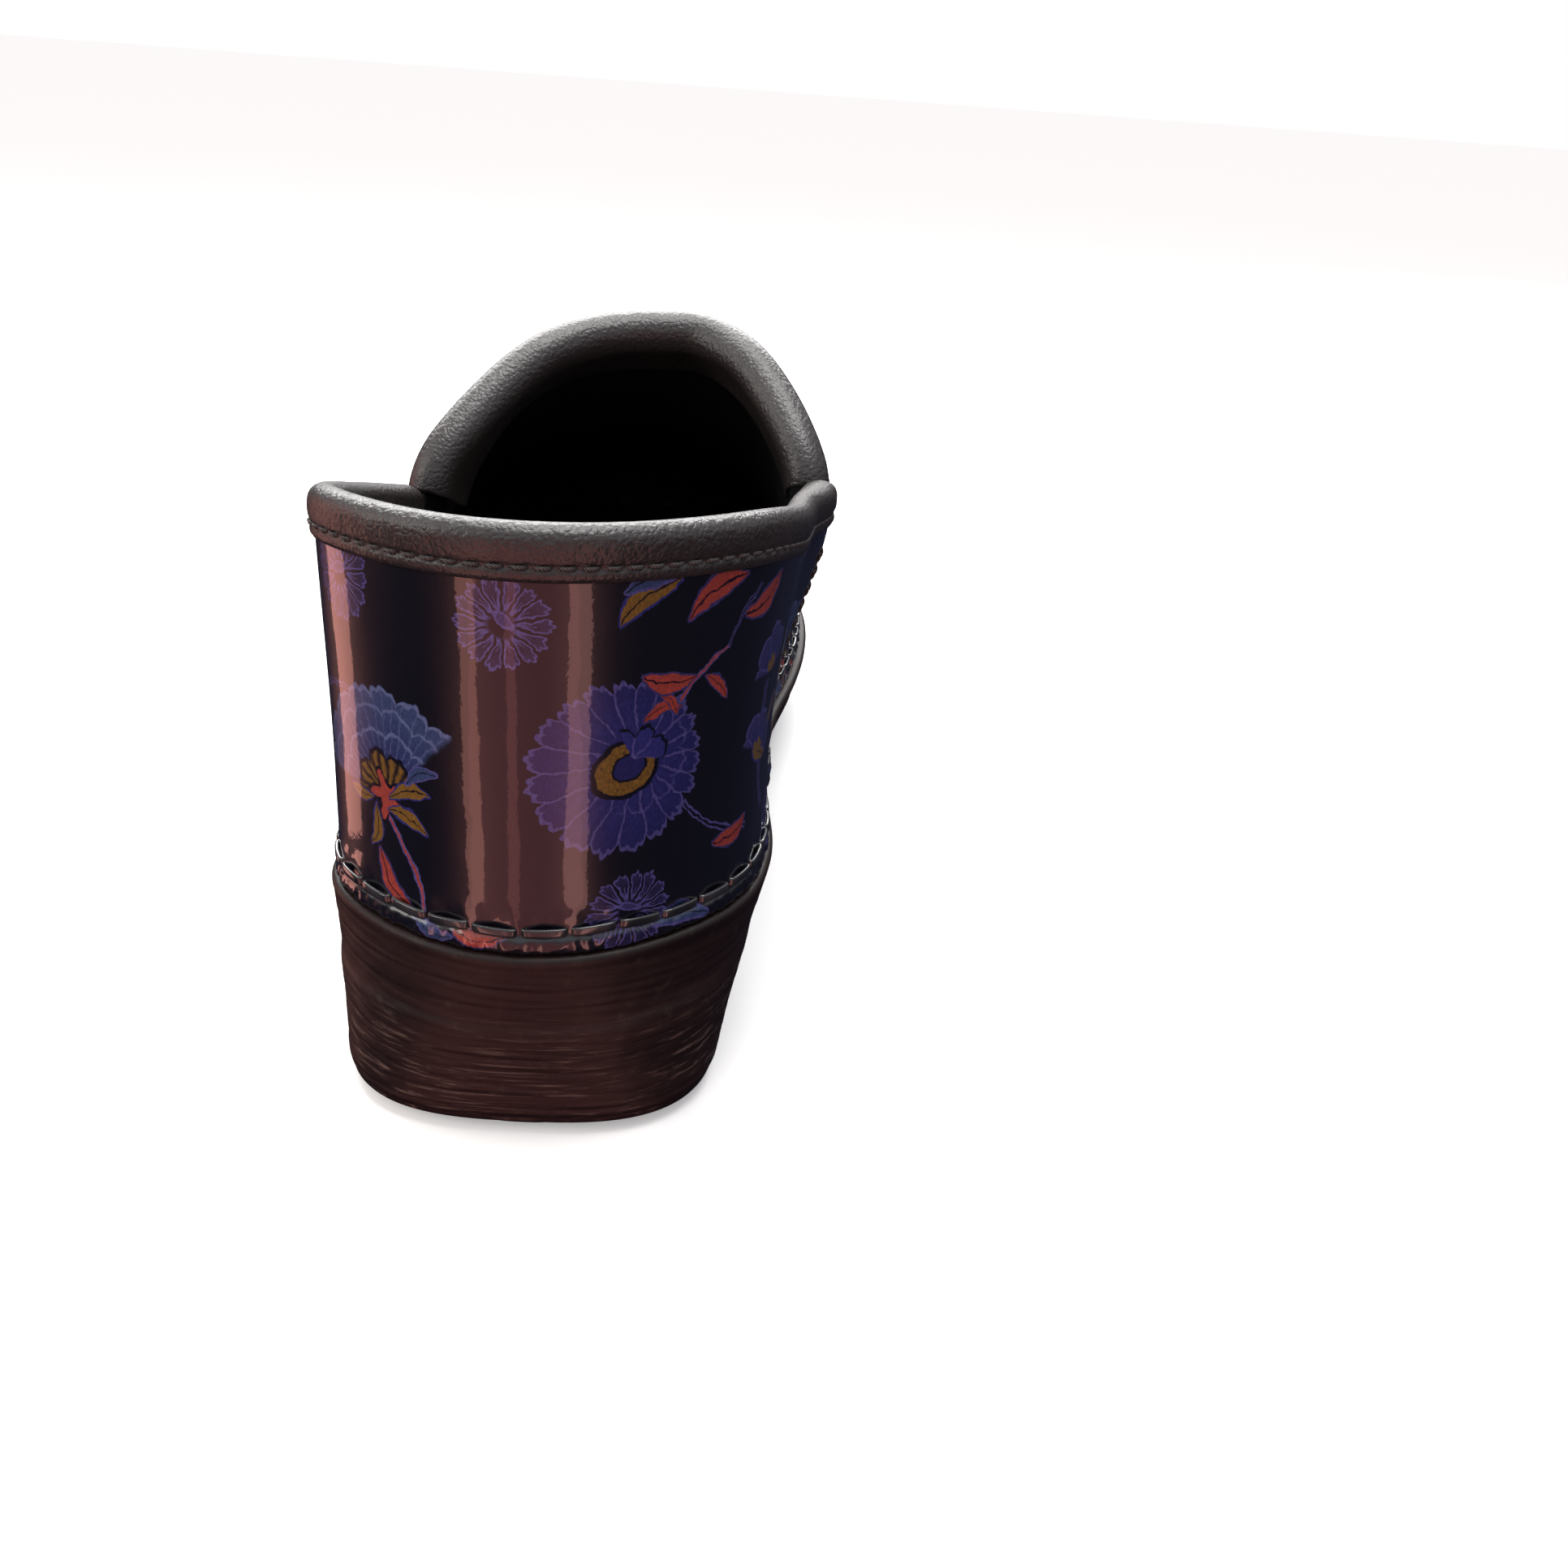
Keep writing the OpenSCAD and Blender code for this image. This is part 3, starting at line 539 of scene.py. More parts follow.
def edge_stitches(name, surface, flange, lift_of):
    dense = np.linspace(0, 1, 801)
    v = np.full_like(dense, 1 - (flange - STITCH_UP) / REACH)
    s = arc_length(surface(dense, v))
    stops = np.arange(STITCH_LEN, s[-1] - STITCH_LEN, STITCH_PITCH)
    u = np.interp(stops, s, dense)
    v = np.full_like(u, v[0])
    centres = lifted(surface, u, v, BINDING_T + lift_of(u) - STITCH_SINK)
    ways = unit(surface(u + 0.002, v) - surface(u - 0.002, v))
    return stitch_bars(name, centres, ways, normals(surface, u, v))


def collar_lift(u):
    return seam_step(heel_y(u, SEAM_Y))


def no_lift(u):
    return 0 * u


def binding_pieces(leather, thread):
    collar = binding_piece("collar_binding_roll", collar_surface(REACH), COLLAR_R, COLLAR_FLANGE,
                           COLLAR_FLANGE, 420, collar_lift)
    finish_piece(collar, leather, "binding", "collar_binding", "collar_pad")
    throat = binding_piece("throat_binding_roll", throat_surface(REACH), THROAT_R, THROAT_FLANGE,
                           THROAT_FLANGE + 3, 300, no_lift)
    finish_piece(throat, leather, "binding", "vamp_binding", "instep_pad")
    rows = [("collar_thread", collar_surface(REACH), COLLAR_FLANGE, collar_lift, "collar_stitches"),
            ("throat_thread", throat_surface(REACH), THROAT_FLANGE, no_lift,
             "vamp_binding_stitches")]
    for name, surface, flange, lift_of, node in rows:
        finish_piece(edge_stitches(name, surface, flange, lift_of), thread, "thread", node)


def seam_band(side, low, drop):
    """Wall points beside a side seam at stations y, v from 0 to 1 upwards."""
    def surface(a, v):
        y = SEAM_Y + 10 * a * side
        return wall_pt(y, mix(feather(y) + low, topline(SEAM_Y, side) - drop, v), side)
    return surface


def seam_pieces(side, label, thread, tape):
    band = seam_band(side, 8, 12)
    rise = np.linalg.norm(band(0.0, np.array(1.0)) - band(0.0, np.array(0.0)))
    count = int(rise // STITCH_PITCH)
    v = (np.arange(count) + 0.5) / count
    rows = []
    for back in (5, 2):
        a = np.full(count, -back / 10 * side)
        out = unit(np.cross(band(a + 0.01, v) - band(a - 0.01, v), band(a, v + 0.01) - band(a, v - 0.01)))
        centres = band(a, v) + (seam_step(SEAM_Y - back) + 0.05) * out
        rows.append((centres, unit(band(a, v + 0.01) - band(a, v - 0.01)), out))
    merged = [np.concatenate(part) for part in zip(*rows)]
    bars = stitch_bars(f"{label}_seam_thread", *merged)
    finish_piece(bars, thread, "thread", f"{label}_seam_stitches")
    ribs = seam_band(side, 14, 16)
    u, v = grid(np.linspace(0, 1, 66), np.linspace(0, 1, 40))

    def ribbed(a, b):
        return ribs(mix(-0.7, 0.6, a) if side > 0 else mix(-0.6, 0.7, a), b)

    ridge = 0.28 * np.abs(np.sin(np.pi * u * 10)) + 0.06 * wobble(v * 14, u * 9)
    strip = add_shell(f"{label}_stay_tape", lifted(ribbed, u, v, INSIDE_N - 0.05),
                      lifted(ribbed, u, v, INSIDE_N - 0.35 - ridge))
    finish_piece(strip, tape, "tape", f"{label}_seam_tape")


def staple_piece(material):
    """Flat-wire staples round the margin: crowns on the leather, ends turned in."""
    stops = (np.arange(STAPLE_COUNT) + 0.5) * STAPLE_PITCH
    half = STAPLE_LEN / 2
    along = np.array([-1, -1, -0.985, -0.94, -0.86, -0.6, 0, 0.6, 0.86, 0.94, 0.985, 1, 1]) * half
    height = np.array([-1.6, -0.4, 0.1, 0.33, 0.45, 0.52, 0.54, 0.52, 0.45, 0.33, 0.1, -0.4, -1.6])
    t = np.interp(stops[:, None] + along, LOOP_S, LOOP_T)
    seed = np.arange(STAPLE_COUNT)
    skew = 0.16 * np.sin(seed * 2.4)[:, None] * np.sign(along) * np.abs(along) / half
    rise = STAPLE_RISE + skew + 0.12 * np.sin(seed * 1.3)[:, None]
    here = loop_pt(t, rise)
    out = normals(lambda a, b: loop_pt(a, 10 * b), t, rise / 10)
    y = loop_y(t)
    lift = np.where(y < SEAM_Y, seam_step(y), 0)
    paths = here + (height + lift)[..., None] * out
    mid = len(along) // 2
    sides = unit(np.cross(out[:, mid], unit(here[:, mid + 1] - here[:, mid - 1])))
    piece = add_bars("staple_row", paths, sides, STAPLE_HALF_W, STAPLE_HALF_T, ring=12, power=0.55)
    return finish_piece(piece, material, "staple_wire", "welt_staples")


# ---------------------------------------------------------------- the sole
LAYERS = (0.07, 0.16, 0.25, 0.34, 0.42, 0.52, 0.74, 0.86)
LEDGE = 0.62
SOLE_HEIGHT = 32.0
SOLE_EDGE, LIP_THICK = 1.5, 2.2


def base_round(y):
    a = np.clip((y - BASE_BACK) / BACK_ROUND, 0, 1)
    b = np.clip((BASE_FRONT - y) / FRONT_ROUND, 0, 1)
    return ((1 - (1 - a) ** BACK_POWER) ** (1 / BACK_POWER)
            * (1 - (1 - b) ** FRONT_POWER) ** (1 / FRONT_POWER))


def base_pt(t):
    y = mix(BASE_BACK, BASE_FRONT, (1 - np.cos(2 * np.pi * t)) / 2)
    side = np.where(t % 1 < 0.5, 1, -1)
    x = spline(CENTRE, y) + side * sided(BASE, y, side) * base_round(y)
    return np.stack([x, y, spline(UNDER, y)], -1)


def ring_outward(ring):
    """Plan normals of a closed ring that runs anticlockwise seen from above."""
    way = np.roll(ring, -1, axis=0) - np.roll(ring, 1, axis=0)
    out = np.stack([way[:, 1], -way[:, 0], 0 * way[:, 0]], -1)
    return unit(out)


def ladder(ids, flip=False):
    """Closes a ring of vertex numbers with a ladder of faces from side to side."""
    n = len(ids)
    faces = [(ids[i], ids[i + 1], ids[n - i - 2], ids[n - i - 1]) for i in range(n // 2 - 1)]
    return [f if flip else f[::-1] for f in faces]


def stack_mesh(name, rings, values=None):
    """A solid of stacked closed rings, bottom to top."""
    n = len(rings[0])
    faces = tube_faces(len(rings), n) + ladder(list(range(n)))
    last = (len(rings) - 1) * n
    faces += ladder([last + i for i in range(n)], flip=True)
    return add_mesh(name, np.concatenate(rings), faces, values)


def ripple(turn, seed):
    """Unevenness round the sole that joins up with itself after one turn."""
    return (0.4 * np.sin(3 * turn + 1.3 * seed) + 0.3 * np.sin(7 * turn + 2.1 * seed)
            + 0.2 * np.sin(13 * turn + 0.7 * seed) + 0.1 * np.sin(37 * turn + 3 * seed))


def sole_relief(q, turn):
    """Depth of the layered side: a ledge, and lipped layers with fine grooves between them."""
    ledge = (q - LEDGE - 0.03 * ripple(turn, 5)) / 0.03
    depth = 0.55 * (0.5 - 0.5 * np.tanh(ledge))
    for k, layer in enumerate(LAYERS):
        level = layer + 0.016 * ripple(turn, k)
        gap = (q - level) / 0.011
        strength = 0.07 + 0.05 * math.sin(k * 2.1) + 0.06 * ripple(turn, 3 * k + 1)
        depth = depth - strength * np.exp(-gap**2) + 0.5 * strength * np.exp(-(gap - 2.2) ** 2)
    return depth + 0.05 * np.sin(41 * turn + q * 40) * np.sin(23 * turn - q * 60)


def sole_piece(material):
    count = 440
    t = (np.arange(count) + 0.5) / count
    turn = 2 * np.pi * t
    base, lip = base_pt(t), lip_pt(t)
    low_lip = lip - [0, 0, LIP_THICK]
    out = unit(ring_outward(base) + ring_outward(lip))
    centre = np.stack([spline(CENTRE, base[:, 1]), base[:, 1], base[:, 2]], -1)
    rings, marks = [], []

    def add(ring, q):
        rings.append(ring)
        marks.append(np.stack([lip[:, 0], lip[:, 1], np.full(count, SOLE_HEIGHT * q)], -1))

    for shrink in (0.5, 0.9):
        add(mix(centre, base - 1.6 * out, shrink), 0)
    for angle in np.linspace(0, np.pi / 2, 5):
        corner = SOLE_EDGE * (1 - math.sin(angle))
        add(base - corner * out + [0, 0, SOLE_EDGE * (1 - math.cos(angle))], 0)
    raised = base + [0, 0, SOLE_EDGE]
    for q in np.linspace(0, 1, 96)[1:]:
        fade = smooth(q / 0.05) * smooth((1 - q) / 0.05)
        add(mix(raised, low_lip, q) + out * (fade * sole_relief(q, turn))[:, None], q)
    for angle in np.linspace(0, np.pi * 0.5, 6)[1:]:
        swell = 0.35 * math.sin(2 * angle) - 0.9 * (1 - math.cos(angle))
        add(low_lip + out * swell + [0, 0, LIP_THICK * math.sin(angle)], 1)
    for inset in (0, 1, 2):
        add(loop_pt(t, 0) - out * inset, 1)
    add(rings[-1] - [0, 0, 4], 1)
    piece = stack_mesh("layered_sole", rings, {"sole_mm": np.concatenate(marks)})
    return finish_piece(piece, material, "sole", "outsole")


def footbed_piece(material):
    """Sock liner over the foam: cupped at the heel, raised under the arch."""
    top = FRAME_RISE + FOAM_T + LINER_T
    count = 240
    t = (np.arange(count) + 0.5) / count
    edge = lifted(lambda a, b: loop_pt(a, 20 * b), t, 0 * t + top / 20, INSIDE_N - 0.5)
    middle = np.stack([spline(CENTRE, edge[:, 1]), edge[:, 1], edge[:, 2]], -1)
    rings = [edge - [0, 0, LINER_T], edge]
    side = np.where(t < 0.5, 1, -1)
    for k in np.linspace(0, 1, 16)[1:]:
        ring = mix(edge, middle, k)
        y = ring[:, 1]
        cup = 2.2 * (1 - k) ** 2 * (1 - smooth((y - 60) / 60))
        arch = 2.5 * np.clip(side, 0, 1) * np.sin(np.pi * np.clip(1 - k, 0, 1)) \
            * np.exp(-((y - 95) / 28) ** 2)
        rings.append(ring + np.stack([0 * y, 0 * y, cup + arch - 1.0 * smooth(k * 3)], -1))
    rings = rings[:-1]
    piece = stack_mesh("sock_liner_pad", rings)
    finish_piece(piece, material, "liner", "sock_liner", "footbed_foam")


# ---------------------------------------------------------------- node helpers
class Nodes:
    """Small builder for node trees: every call adds a node and gives its output socket."""

    def __init__(self, tree):
        self.tree = tree

    def feed(self, node, inputs):
        """Links the sockets given and sets the plain values."""
        for key, value in inputs.items():
            if isinstance(value, bpy.types.NodeSocket):
                self.tree.links.new(value, node.inputs[key])
            else:
                node.inputs[key].default_value = value

    def put(self, kind, inputs=(), out=0, **settings):
        node = self.tree.nodes.new(kind)
        for key, value in settings.items():
            setattr(node, key, value)
        self.feed(node, dict(inputs))
        return node.outputs[out]

    def math(self, operation, a, b=0.0, c=0.0):
        return self.put("ShaderNodeMath", {0: a, 1: b, 2: c}, operation=operation)

    def times(self, a, b):
        return self.math("MULTIPLY", a, b)

    def plus(self, a, b):
        return self.math("ADD", a, b)

    def minus(self, a, b):
        return self.math("SUBTRACT", a, b)

    def blend(self, a, b, c):
        """a times b, plus c."""
        return self.math("MULTIPLY_ADD", a, b, c)

    def vec(self, operation, a, b=(0, 0, 0)):
        out = 1 if operation == "LENGTH" else 0
        return self.put("ShaderNodeVectorMath", {0: a, 1: b}, out=out, operation=operation)

    def scaled(self, a, b):
        return self.vec("MULTIPLY", a, b)

    def ramp(self, value, low, high):
        """0 at low, 1 at high, and level outside them; low may be above high."""
        ends = {1: low, 2: high} if low < high else {1: high, 2: low, 3: 1.0, 4: 0.0}
        return self.put("ShaderNodeMapRange", {0: value, **ends}, interpolation_type="SMOOTHSTEP",
                        clamp=False)

    def mix_color(self, fac, a, b):
        return self.put("ShaderNodeMix", {0: fac, 6: a, 7: b}, out=2, data_type="RGBA")

    def noise(self, vector, scale, detail=3.0, rough=0.55, out=0):
        return self.put("ShaderNodeTexNoise", {"Vector": vector, "Scale": scale, "Detail": detail,
                                               "Roughness": rough}, out=out)

    def split(self, vector):
        node = self.tree.nodes.new("ShaderNodeSeparateXYZ")
        self.tree.links.new(vector, node.inputs[0])
        return node.outputs

    def attribute(self, name):
        return self.put("ShaderNodeAttribute", attribute_name=name, attribute_type="GEOMETRY", out=1)

    def mm(self):
        """Object coordinates in millimetres."""
        return self.scaled(self.put("ShaderNodeTexCoord", out=3), (1000, 1000, 1000))

    def turned(self, vector, angle):
        return self.put("ShaderNodeVectorRotate", {"Vector": vector, "Angle": angle},
                        rotation_type="Z_AXIS")

    def bump(self, height, distance, strength):
        return self.put("ShaderNodeBump", {"Strength": strength, "Distance": distance * MM,
                                           "Height": height})


def new_material(name):
    """A material, the builder for its nodes, and its shader."""
    material = bpy.data.materials.new(name)
    material.use_nodes = True
    tree = material.node_tree
    return material, Nodes(tree), tree.nodes["Principled BSDF"]


def rgba(r, g, b):
    return (r, g, b, 1.0)


# ---------------------------------------------------------------- the printed flowers
INK = {
    "night": rgba(0.003, 0.0025, 0.010),
    "ground": rgba(0.0045, 0.0042, 0.0095),
    "deep": rgba(0.018, 0.020, 0.135),
    "ultra": rgba(0.028, 0.032, 0.21),
    "lilac": rgba(0.095, 0.088, 0.31),
    "violet": rgba(0.045, 0.038, 0.16),
    "steel": rgba(0.042, 0.072, 0.19),
    "sky": rgba(0.12, 0.16, 0.34),
    "coral": rgba(0.40, 0.06, 0.042),
    "gold": rgba(0.23, 0.125, 0.018),
    "olive": rgba(0.06, 0.042, 0.010),
}


class Paint:
    """Layers of flat colour, each over the last, with their joint coverage."""

    def __init__(self, nodes):
        self.nodes, self.color, self.alpha = nodes, None, None

    def layer(self, mask, color):
        color = INK[color] if isinstance(color, str) else color
        if self.color is None:
            self.color, self.alpha = color, mask
            return
        self.color = self.nodes.mix_color(mask, self.color, color)
        self.alpha = self.nodes.math("MAXIMUM", self.alpha, mask)


def motif(name, draw, colors=()):
    """A node group that draws one flower or leaf about the origin, in millimetres."""
    tree = bpy.data.node_groups.new(name, "ShaderNodeTree")
    tree.interface.new_socket("Vector", in_out="INPUT", socket_type="NodeSocketVector")
    for key in colors:
        tree.interface.new_socket(key, in_out="INPUT", socket_type="NodeSocketColor")
    tree.interface.new_socket("Color", in_out="OUTPUT", socket_type="NodeSocketColor")
    tree.interface.new_socket("Alpha", in_out="OUTPUT", socket_type="NodeSocketFloat")
    start = tree.nodes.new("NodeGroupInput")
    n = Nodes(tree)
    paint = Paint(n)
    draw(n, start.outputs, paint)
    end = tree.nodes.new("NodeGroupOutput")
    tree.links.new(paint.color, end.inputs["Color"])
    tree.links.new(paint.alpha, end.inputs["Alpha"])
    return tree


def polar(n, vector, at=(0, 0)):
    local = n.vec("SUBTRACT", vector, (at[0], at[1], 0))
    x, y, _ = n.split(local)
    return n.vec("LENGTH", local), n.math("ARCTAN2", y, x)


def lobes(n, angle, count, phase=0.0, power=0.6):
    """0 to 1 round the flower: count rounded petals."""
    turn = n.math("COSINE", n.blend(angle, count / 2, phase))
    return n.math("POWER", n.math("ABSOLUTE", turn), power)


def petal_edge(n, angle, radius, depth, count, teeth, phase=0.0):
    edge = n.blend(lobes(n, angle, count, phase), depth, radius)
    toothed = lobes(n, angle, count * 3, phase * 3, 1.0)
    return n.blend(toothed, teeth, edge)


def inside(n, radius, edge, soft=0.16):
    return n.ramp(n.minus(edge, radius), -soft / 2, soft / 2)


def band(n, value, half, soft=0.14):
    """1 where value is within half of zero."""
    return n.ramp(n.math("ABSOLUTE", value), half + soft / 2, half - soft / 2)


def spokes(n, radius, angle, count, half, phase=0.0):
    """Lines between petals: distance to the nearest line of a wheel of count lines."""
    turn = n.math("COSINE", n.blend(angle, count / 2, phase))
    away = n.times(n.times(turn, radius), 2 / count)
    return band(n, away, half)


def draw_daisy(n, given, paint):
    """Open flower of narrow toothed petals, each in outline, round an eye set off centre."""
    p = n.scaled(given["Vector"], (1, 1.06, 1))
    r, a = polar(n, p)
    edge = petal_edge(n, a, 6.2, 1.9, 14, 0.75)
    reach = n.ramp(r, 2.0, 3.0)
    gap = n.times(spokes(n, r, a, 14, 0.24), reach)
    petal = n.times(inside(n, r, edge), n.minus(1, gap))
    paint.layer(petal, "night")
    tint = n.times(n.ramp(r, 3.5, 7.5), 0.5)
    paint.layer(n.times(petal, tint), "violet")
    side = n.times(n.times(spokes(n, r, a, 14, 0.52), reach), petal)
    paint.layer(side, "lilac")
    rim = n.times(band(n, n.minus(n.minus(edge, r), 0.3), 0.28),
               n.minus(1, gap))
    paint.layer(rim, "lilac")
    vein = n.times(band(n, n.minus(r, 4.2), 1.3), spokes(n, r, a, 14, 0.1, math.pi / 2))
    paint.layer(n.times(vein, 0.7), "lilac")
    x, y, _ = n.split(n.turned(n.vec("SUBTRACT", p, (0.4, 0.8, 0)), 0.7))
    eye = n.vec("LENGTH", n.put("ShaderNodeCombineXYZ", {0: n.times(x, 0.45), 1: y}))
    paint.layer(inside(n, eye, 1.15), "lilac")
    paint.layer(inside(n, eye, 0.8), "violet")


def draw_bloom(n, given, paint):
    """Full bloom: long toothed petals spreading from a heart set off centre."""
    r, _ = polar(n, given["Vector"])
    from_heart, turn = polar(n, given["Vector"], (2.6, 0.4))
    edge = petal_edge(n, turn, 12.2, 1.7, 19, 0.7)
    whole = inside(n, r, edge)
    paint.layer(whole, "deep")
    glow = n.times(n.ramp(r, 14.0, 7.0), lobes(n, turn, 19, 0, 1.6))
    paint.layer(n.times(whole, n.times(glow, 0.6)), "ultra")
    stroke = n.put("ShaderNodeCombineXYZ", {0: n.times(turn, 26), 1: from_heart})
    hatch = n.ramp(n.noise(stroke, 0.9), 0.52, 0.8)
    paint.layer(n.times(whole, n.times(hatch, 0.28)), "lilac")
    rim = band(n, n.minus(n.minus(edge, r), 0.42), 0.40)
    paint.layer(n.times(rim, 0.85), "lilac")
    split = n.times(n.times(spokes(n, from_heart, turn, 19, 0.17), n.ramp(from_heart, 4, 6)), whole)
    paint.layer(n.times(split, 0.9), "lilac")
    ring = petal_edge(n, turn, 7.4, 1.5, 11, 0.4, 0.5)
    line = band(n, n.minus(ring, from_heart), 0.2)
    some = n.ramp(n.math("COSINE", n.plus(turn, 0.8)), -0.3, 0.5)
    paint.layer(n.times(line, n.times(some, 0.7)), "lilac")
    draw_heart(n, given["Vector"], paint)


def draw_heart(n, vector, paint):
    """Mustard heart with a point on its left and a blue bud opening to its right."""
    r, a = polar(n, vector, (1.6, -0.4))
    point = n.math("POWER", n.math("ABSOLUTE", n.math("SINE", n.times(a, 0.5))), 9)
    edge = n.blend(point, 1.9, 3.9)
    paint.layer(inside(n, r, n.plus(edge, 0.75)), "night")
    paint.layer(inside(n, r, edge), "gold")
    scratch = n.ramp(n.noise(vector, 1.9, 2), 0.5, 0.7)
    paint.layer(n.times(inside(n, r, edge), n.times(scratch, 0.8)), "olive")
    inner = n.times(edge, 0.52)
    paint.layer(inside(n, r, n.plus(inner, 0.4)), "night")
    paint.layer(inside(n, r, inner), "deep")
    r, a = polar(n, vector, (2.6, 0.4))
    fan = petal_edge(n, a, 3.6, 1.6, 7, 0.3, 0.4)
    facing = n.ramp(n.math("ABSOLUTE", n.minus(a, 0.55)), 1.15, 1.05)
    bud = n.times(inside(n, r, n.plus(fan, 0.5)), facing)
    paint.layer(bud, "night")
    paint.layer(n.times(inside(n, r, fan), facing), "ultra")
    lines = n.times(spokes(n, r, a, 7, 0.16, 0.4), inside(n, r, fan))
    paint.layer(n.times(lines, facing), "lilac")


def draw_fan(n, given, paint):
    """Carnation seen from the side: a scalloped steel-blue fan opening along +X."""
    vector = given["Vector"]
    r, a = polar(n, vector)
    open_to = n.ramp(n.math("ABSOLUTE", a), 1.16, 1.08)
    edge = petal_edge(n, a, 13.6, 1.0, 17, 0.35)
    whole = n.times(inside(n, r, edge), open_to)
    paint.layer(whole, "steel")
    for scale, count in ((0.80, 13), (0.60, 11)):
        ring = n.times(petal_edge(n, a, 13.8, 1.4, count, 0.3, 0.5), scale)
        inner = n.times(inside(n, r, ring), open_to)
        shade = n.times(n.ramp(n.minus(ring, r), 0, 2.5), 0.35)
        paint.layer(n.times(inner, shade), "deep")
        line = n.times(band(n, n.minus(ring, r), 0.24), open_to)
        paint.layer(line, "sky")
    hatch = n.times(spokes(n, r, a, 44, 0.09), whole)
    paint.layer(n.times(hatch, 0.6), "sky")
    rim = band(n, n.minus(n.minus(edge, r), 0.35), 0.26)
    paint.layer(n.times(rim, open_to), "sky")
    gold_fan = petal_edge(n, a, 4.6, 1.5, 9, 0.2, 0.3)
    stamens = n.times(n.times(inside(n, r, gold_fan), open_to), lobes(n, a, 22, 0, 1.5))
    paint.layer(n.times(inside(n, r, n.plus(gold_fan, 0.6)), open_to), "night")
    paint.layer(stamens, "gold")
    r, a = polar(n, vector, (0.6, 0))
    star = n.blend(lobes(n, a, 5, 0, 3), 1.9, 1.5)
    paint.layer(inside(n, r, n.plus(star, 0.55)), "night")
    paint.layer(inside(n, r, star), "coral")


def draw_leaf(n, given, paint):
    """Pointed leaf from the origin to (12, 0), bowed to one side."""
    x, y, _ = n.split(given["Vector"])
    t = n.math("DIVIDE", x, 12)
    within = n.times(n.ramp(t, -0.02, 0.0), n.ramp(t, 1.02, 1.0))
    hump = n.math("SINE", n.times(n.math("MINIMUM", n.math("MAXIMUM", t, 0), 1), math.pi))
    off = n.blend(hump, -1.5, y)
    half = n.times(n.math("POWER", hump, 0.85), 1.75)
    depth = n.minus(half, n.math("ABSOLUTE", off))
    paint.layer(n.times(n.ramp(depth, -0.42, -0.28), within), given["Line"])
    paint.layer(n.times(n.ramp(depth, 0.02, 0.16), within), given["Fill"])
    paint.layer(n.times(n.times(band(n, off, 0.14), within), n.ramp(depth, 0.1, 0.3)), "night")


def draw_stem(n, given, paint):
    """Double-line stem from the origin to (20, 0), bowed by 2 mm."""
    x, y, _ = n.split(given["Vector"])
    t = n.math("DIVIDE", x, 20)
    within = n.times(n.ramp(t, 0, 0.01), n.ramp(t, 1.0, 0.99))
    rise = n.times(n.times(t, n.minus(1, t)), 8)
    off = n.minus(y, rise)
    paint.layer(n.times(band(n, off, 0.62), within), given["Line"])
    paint.layer(n.times(band(n, off, 0.26), within), given["Fill"])


def draw_bell(n, given, paint):
    """Five-lobed violet flower with a gold cup, seen from the side and opening along +X."""
    r, a = polar(n, given["Vector"])
    facing = n.ramp(n.math("ABSOLUTE", a), 1.5, 1.4)
    edge = n.blend(lobes(n, a, 7, 0.3, 0.5), 1.8, 6.2)
    whole = n.times(inside(n, r, edge), facing)
    paint.layer(whole, "violet")
    paint.layer(n.times(whole, n.times(n.ramp(r, 6, 3), 0.6)), "deep")
    paint.layer(n.times(band(n, n.minus(n.minus(edge, r), 0.3), 0.26), facing),
                "lilac")
    paint.layer(n.times(spokes(n, r, a, 7, 0.18, 0.3), whole), "lilac")
    paint.layer(n.times(n.times(inside(n, r, n.blend(lobes(n, a, 7), 1.2, 1.6)), facing),
                     n.ramp(r, 0.1, 0.3)), "gold")


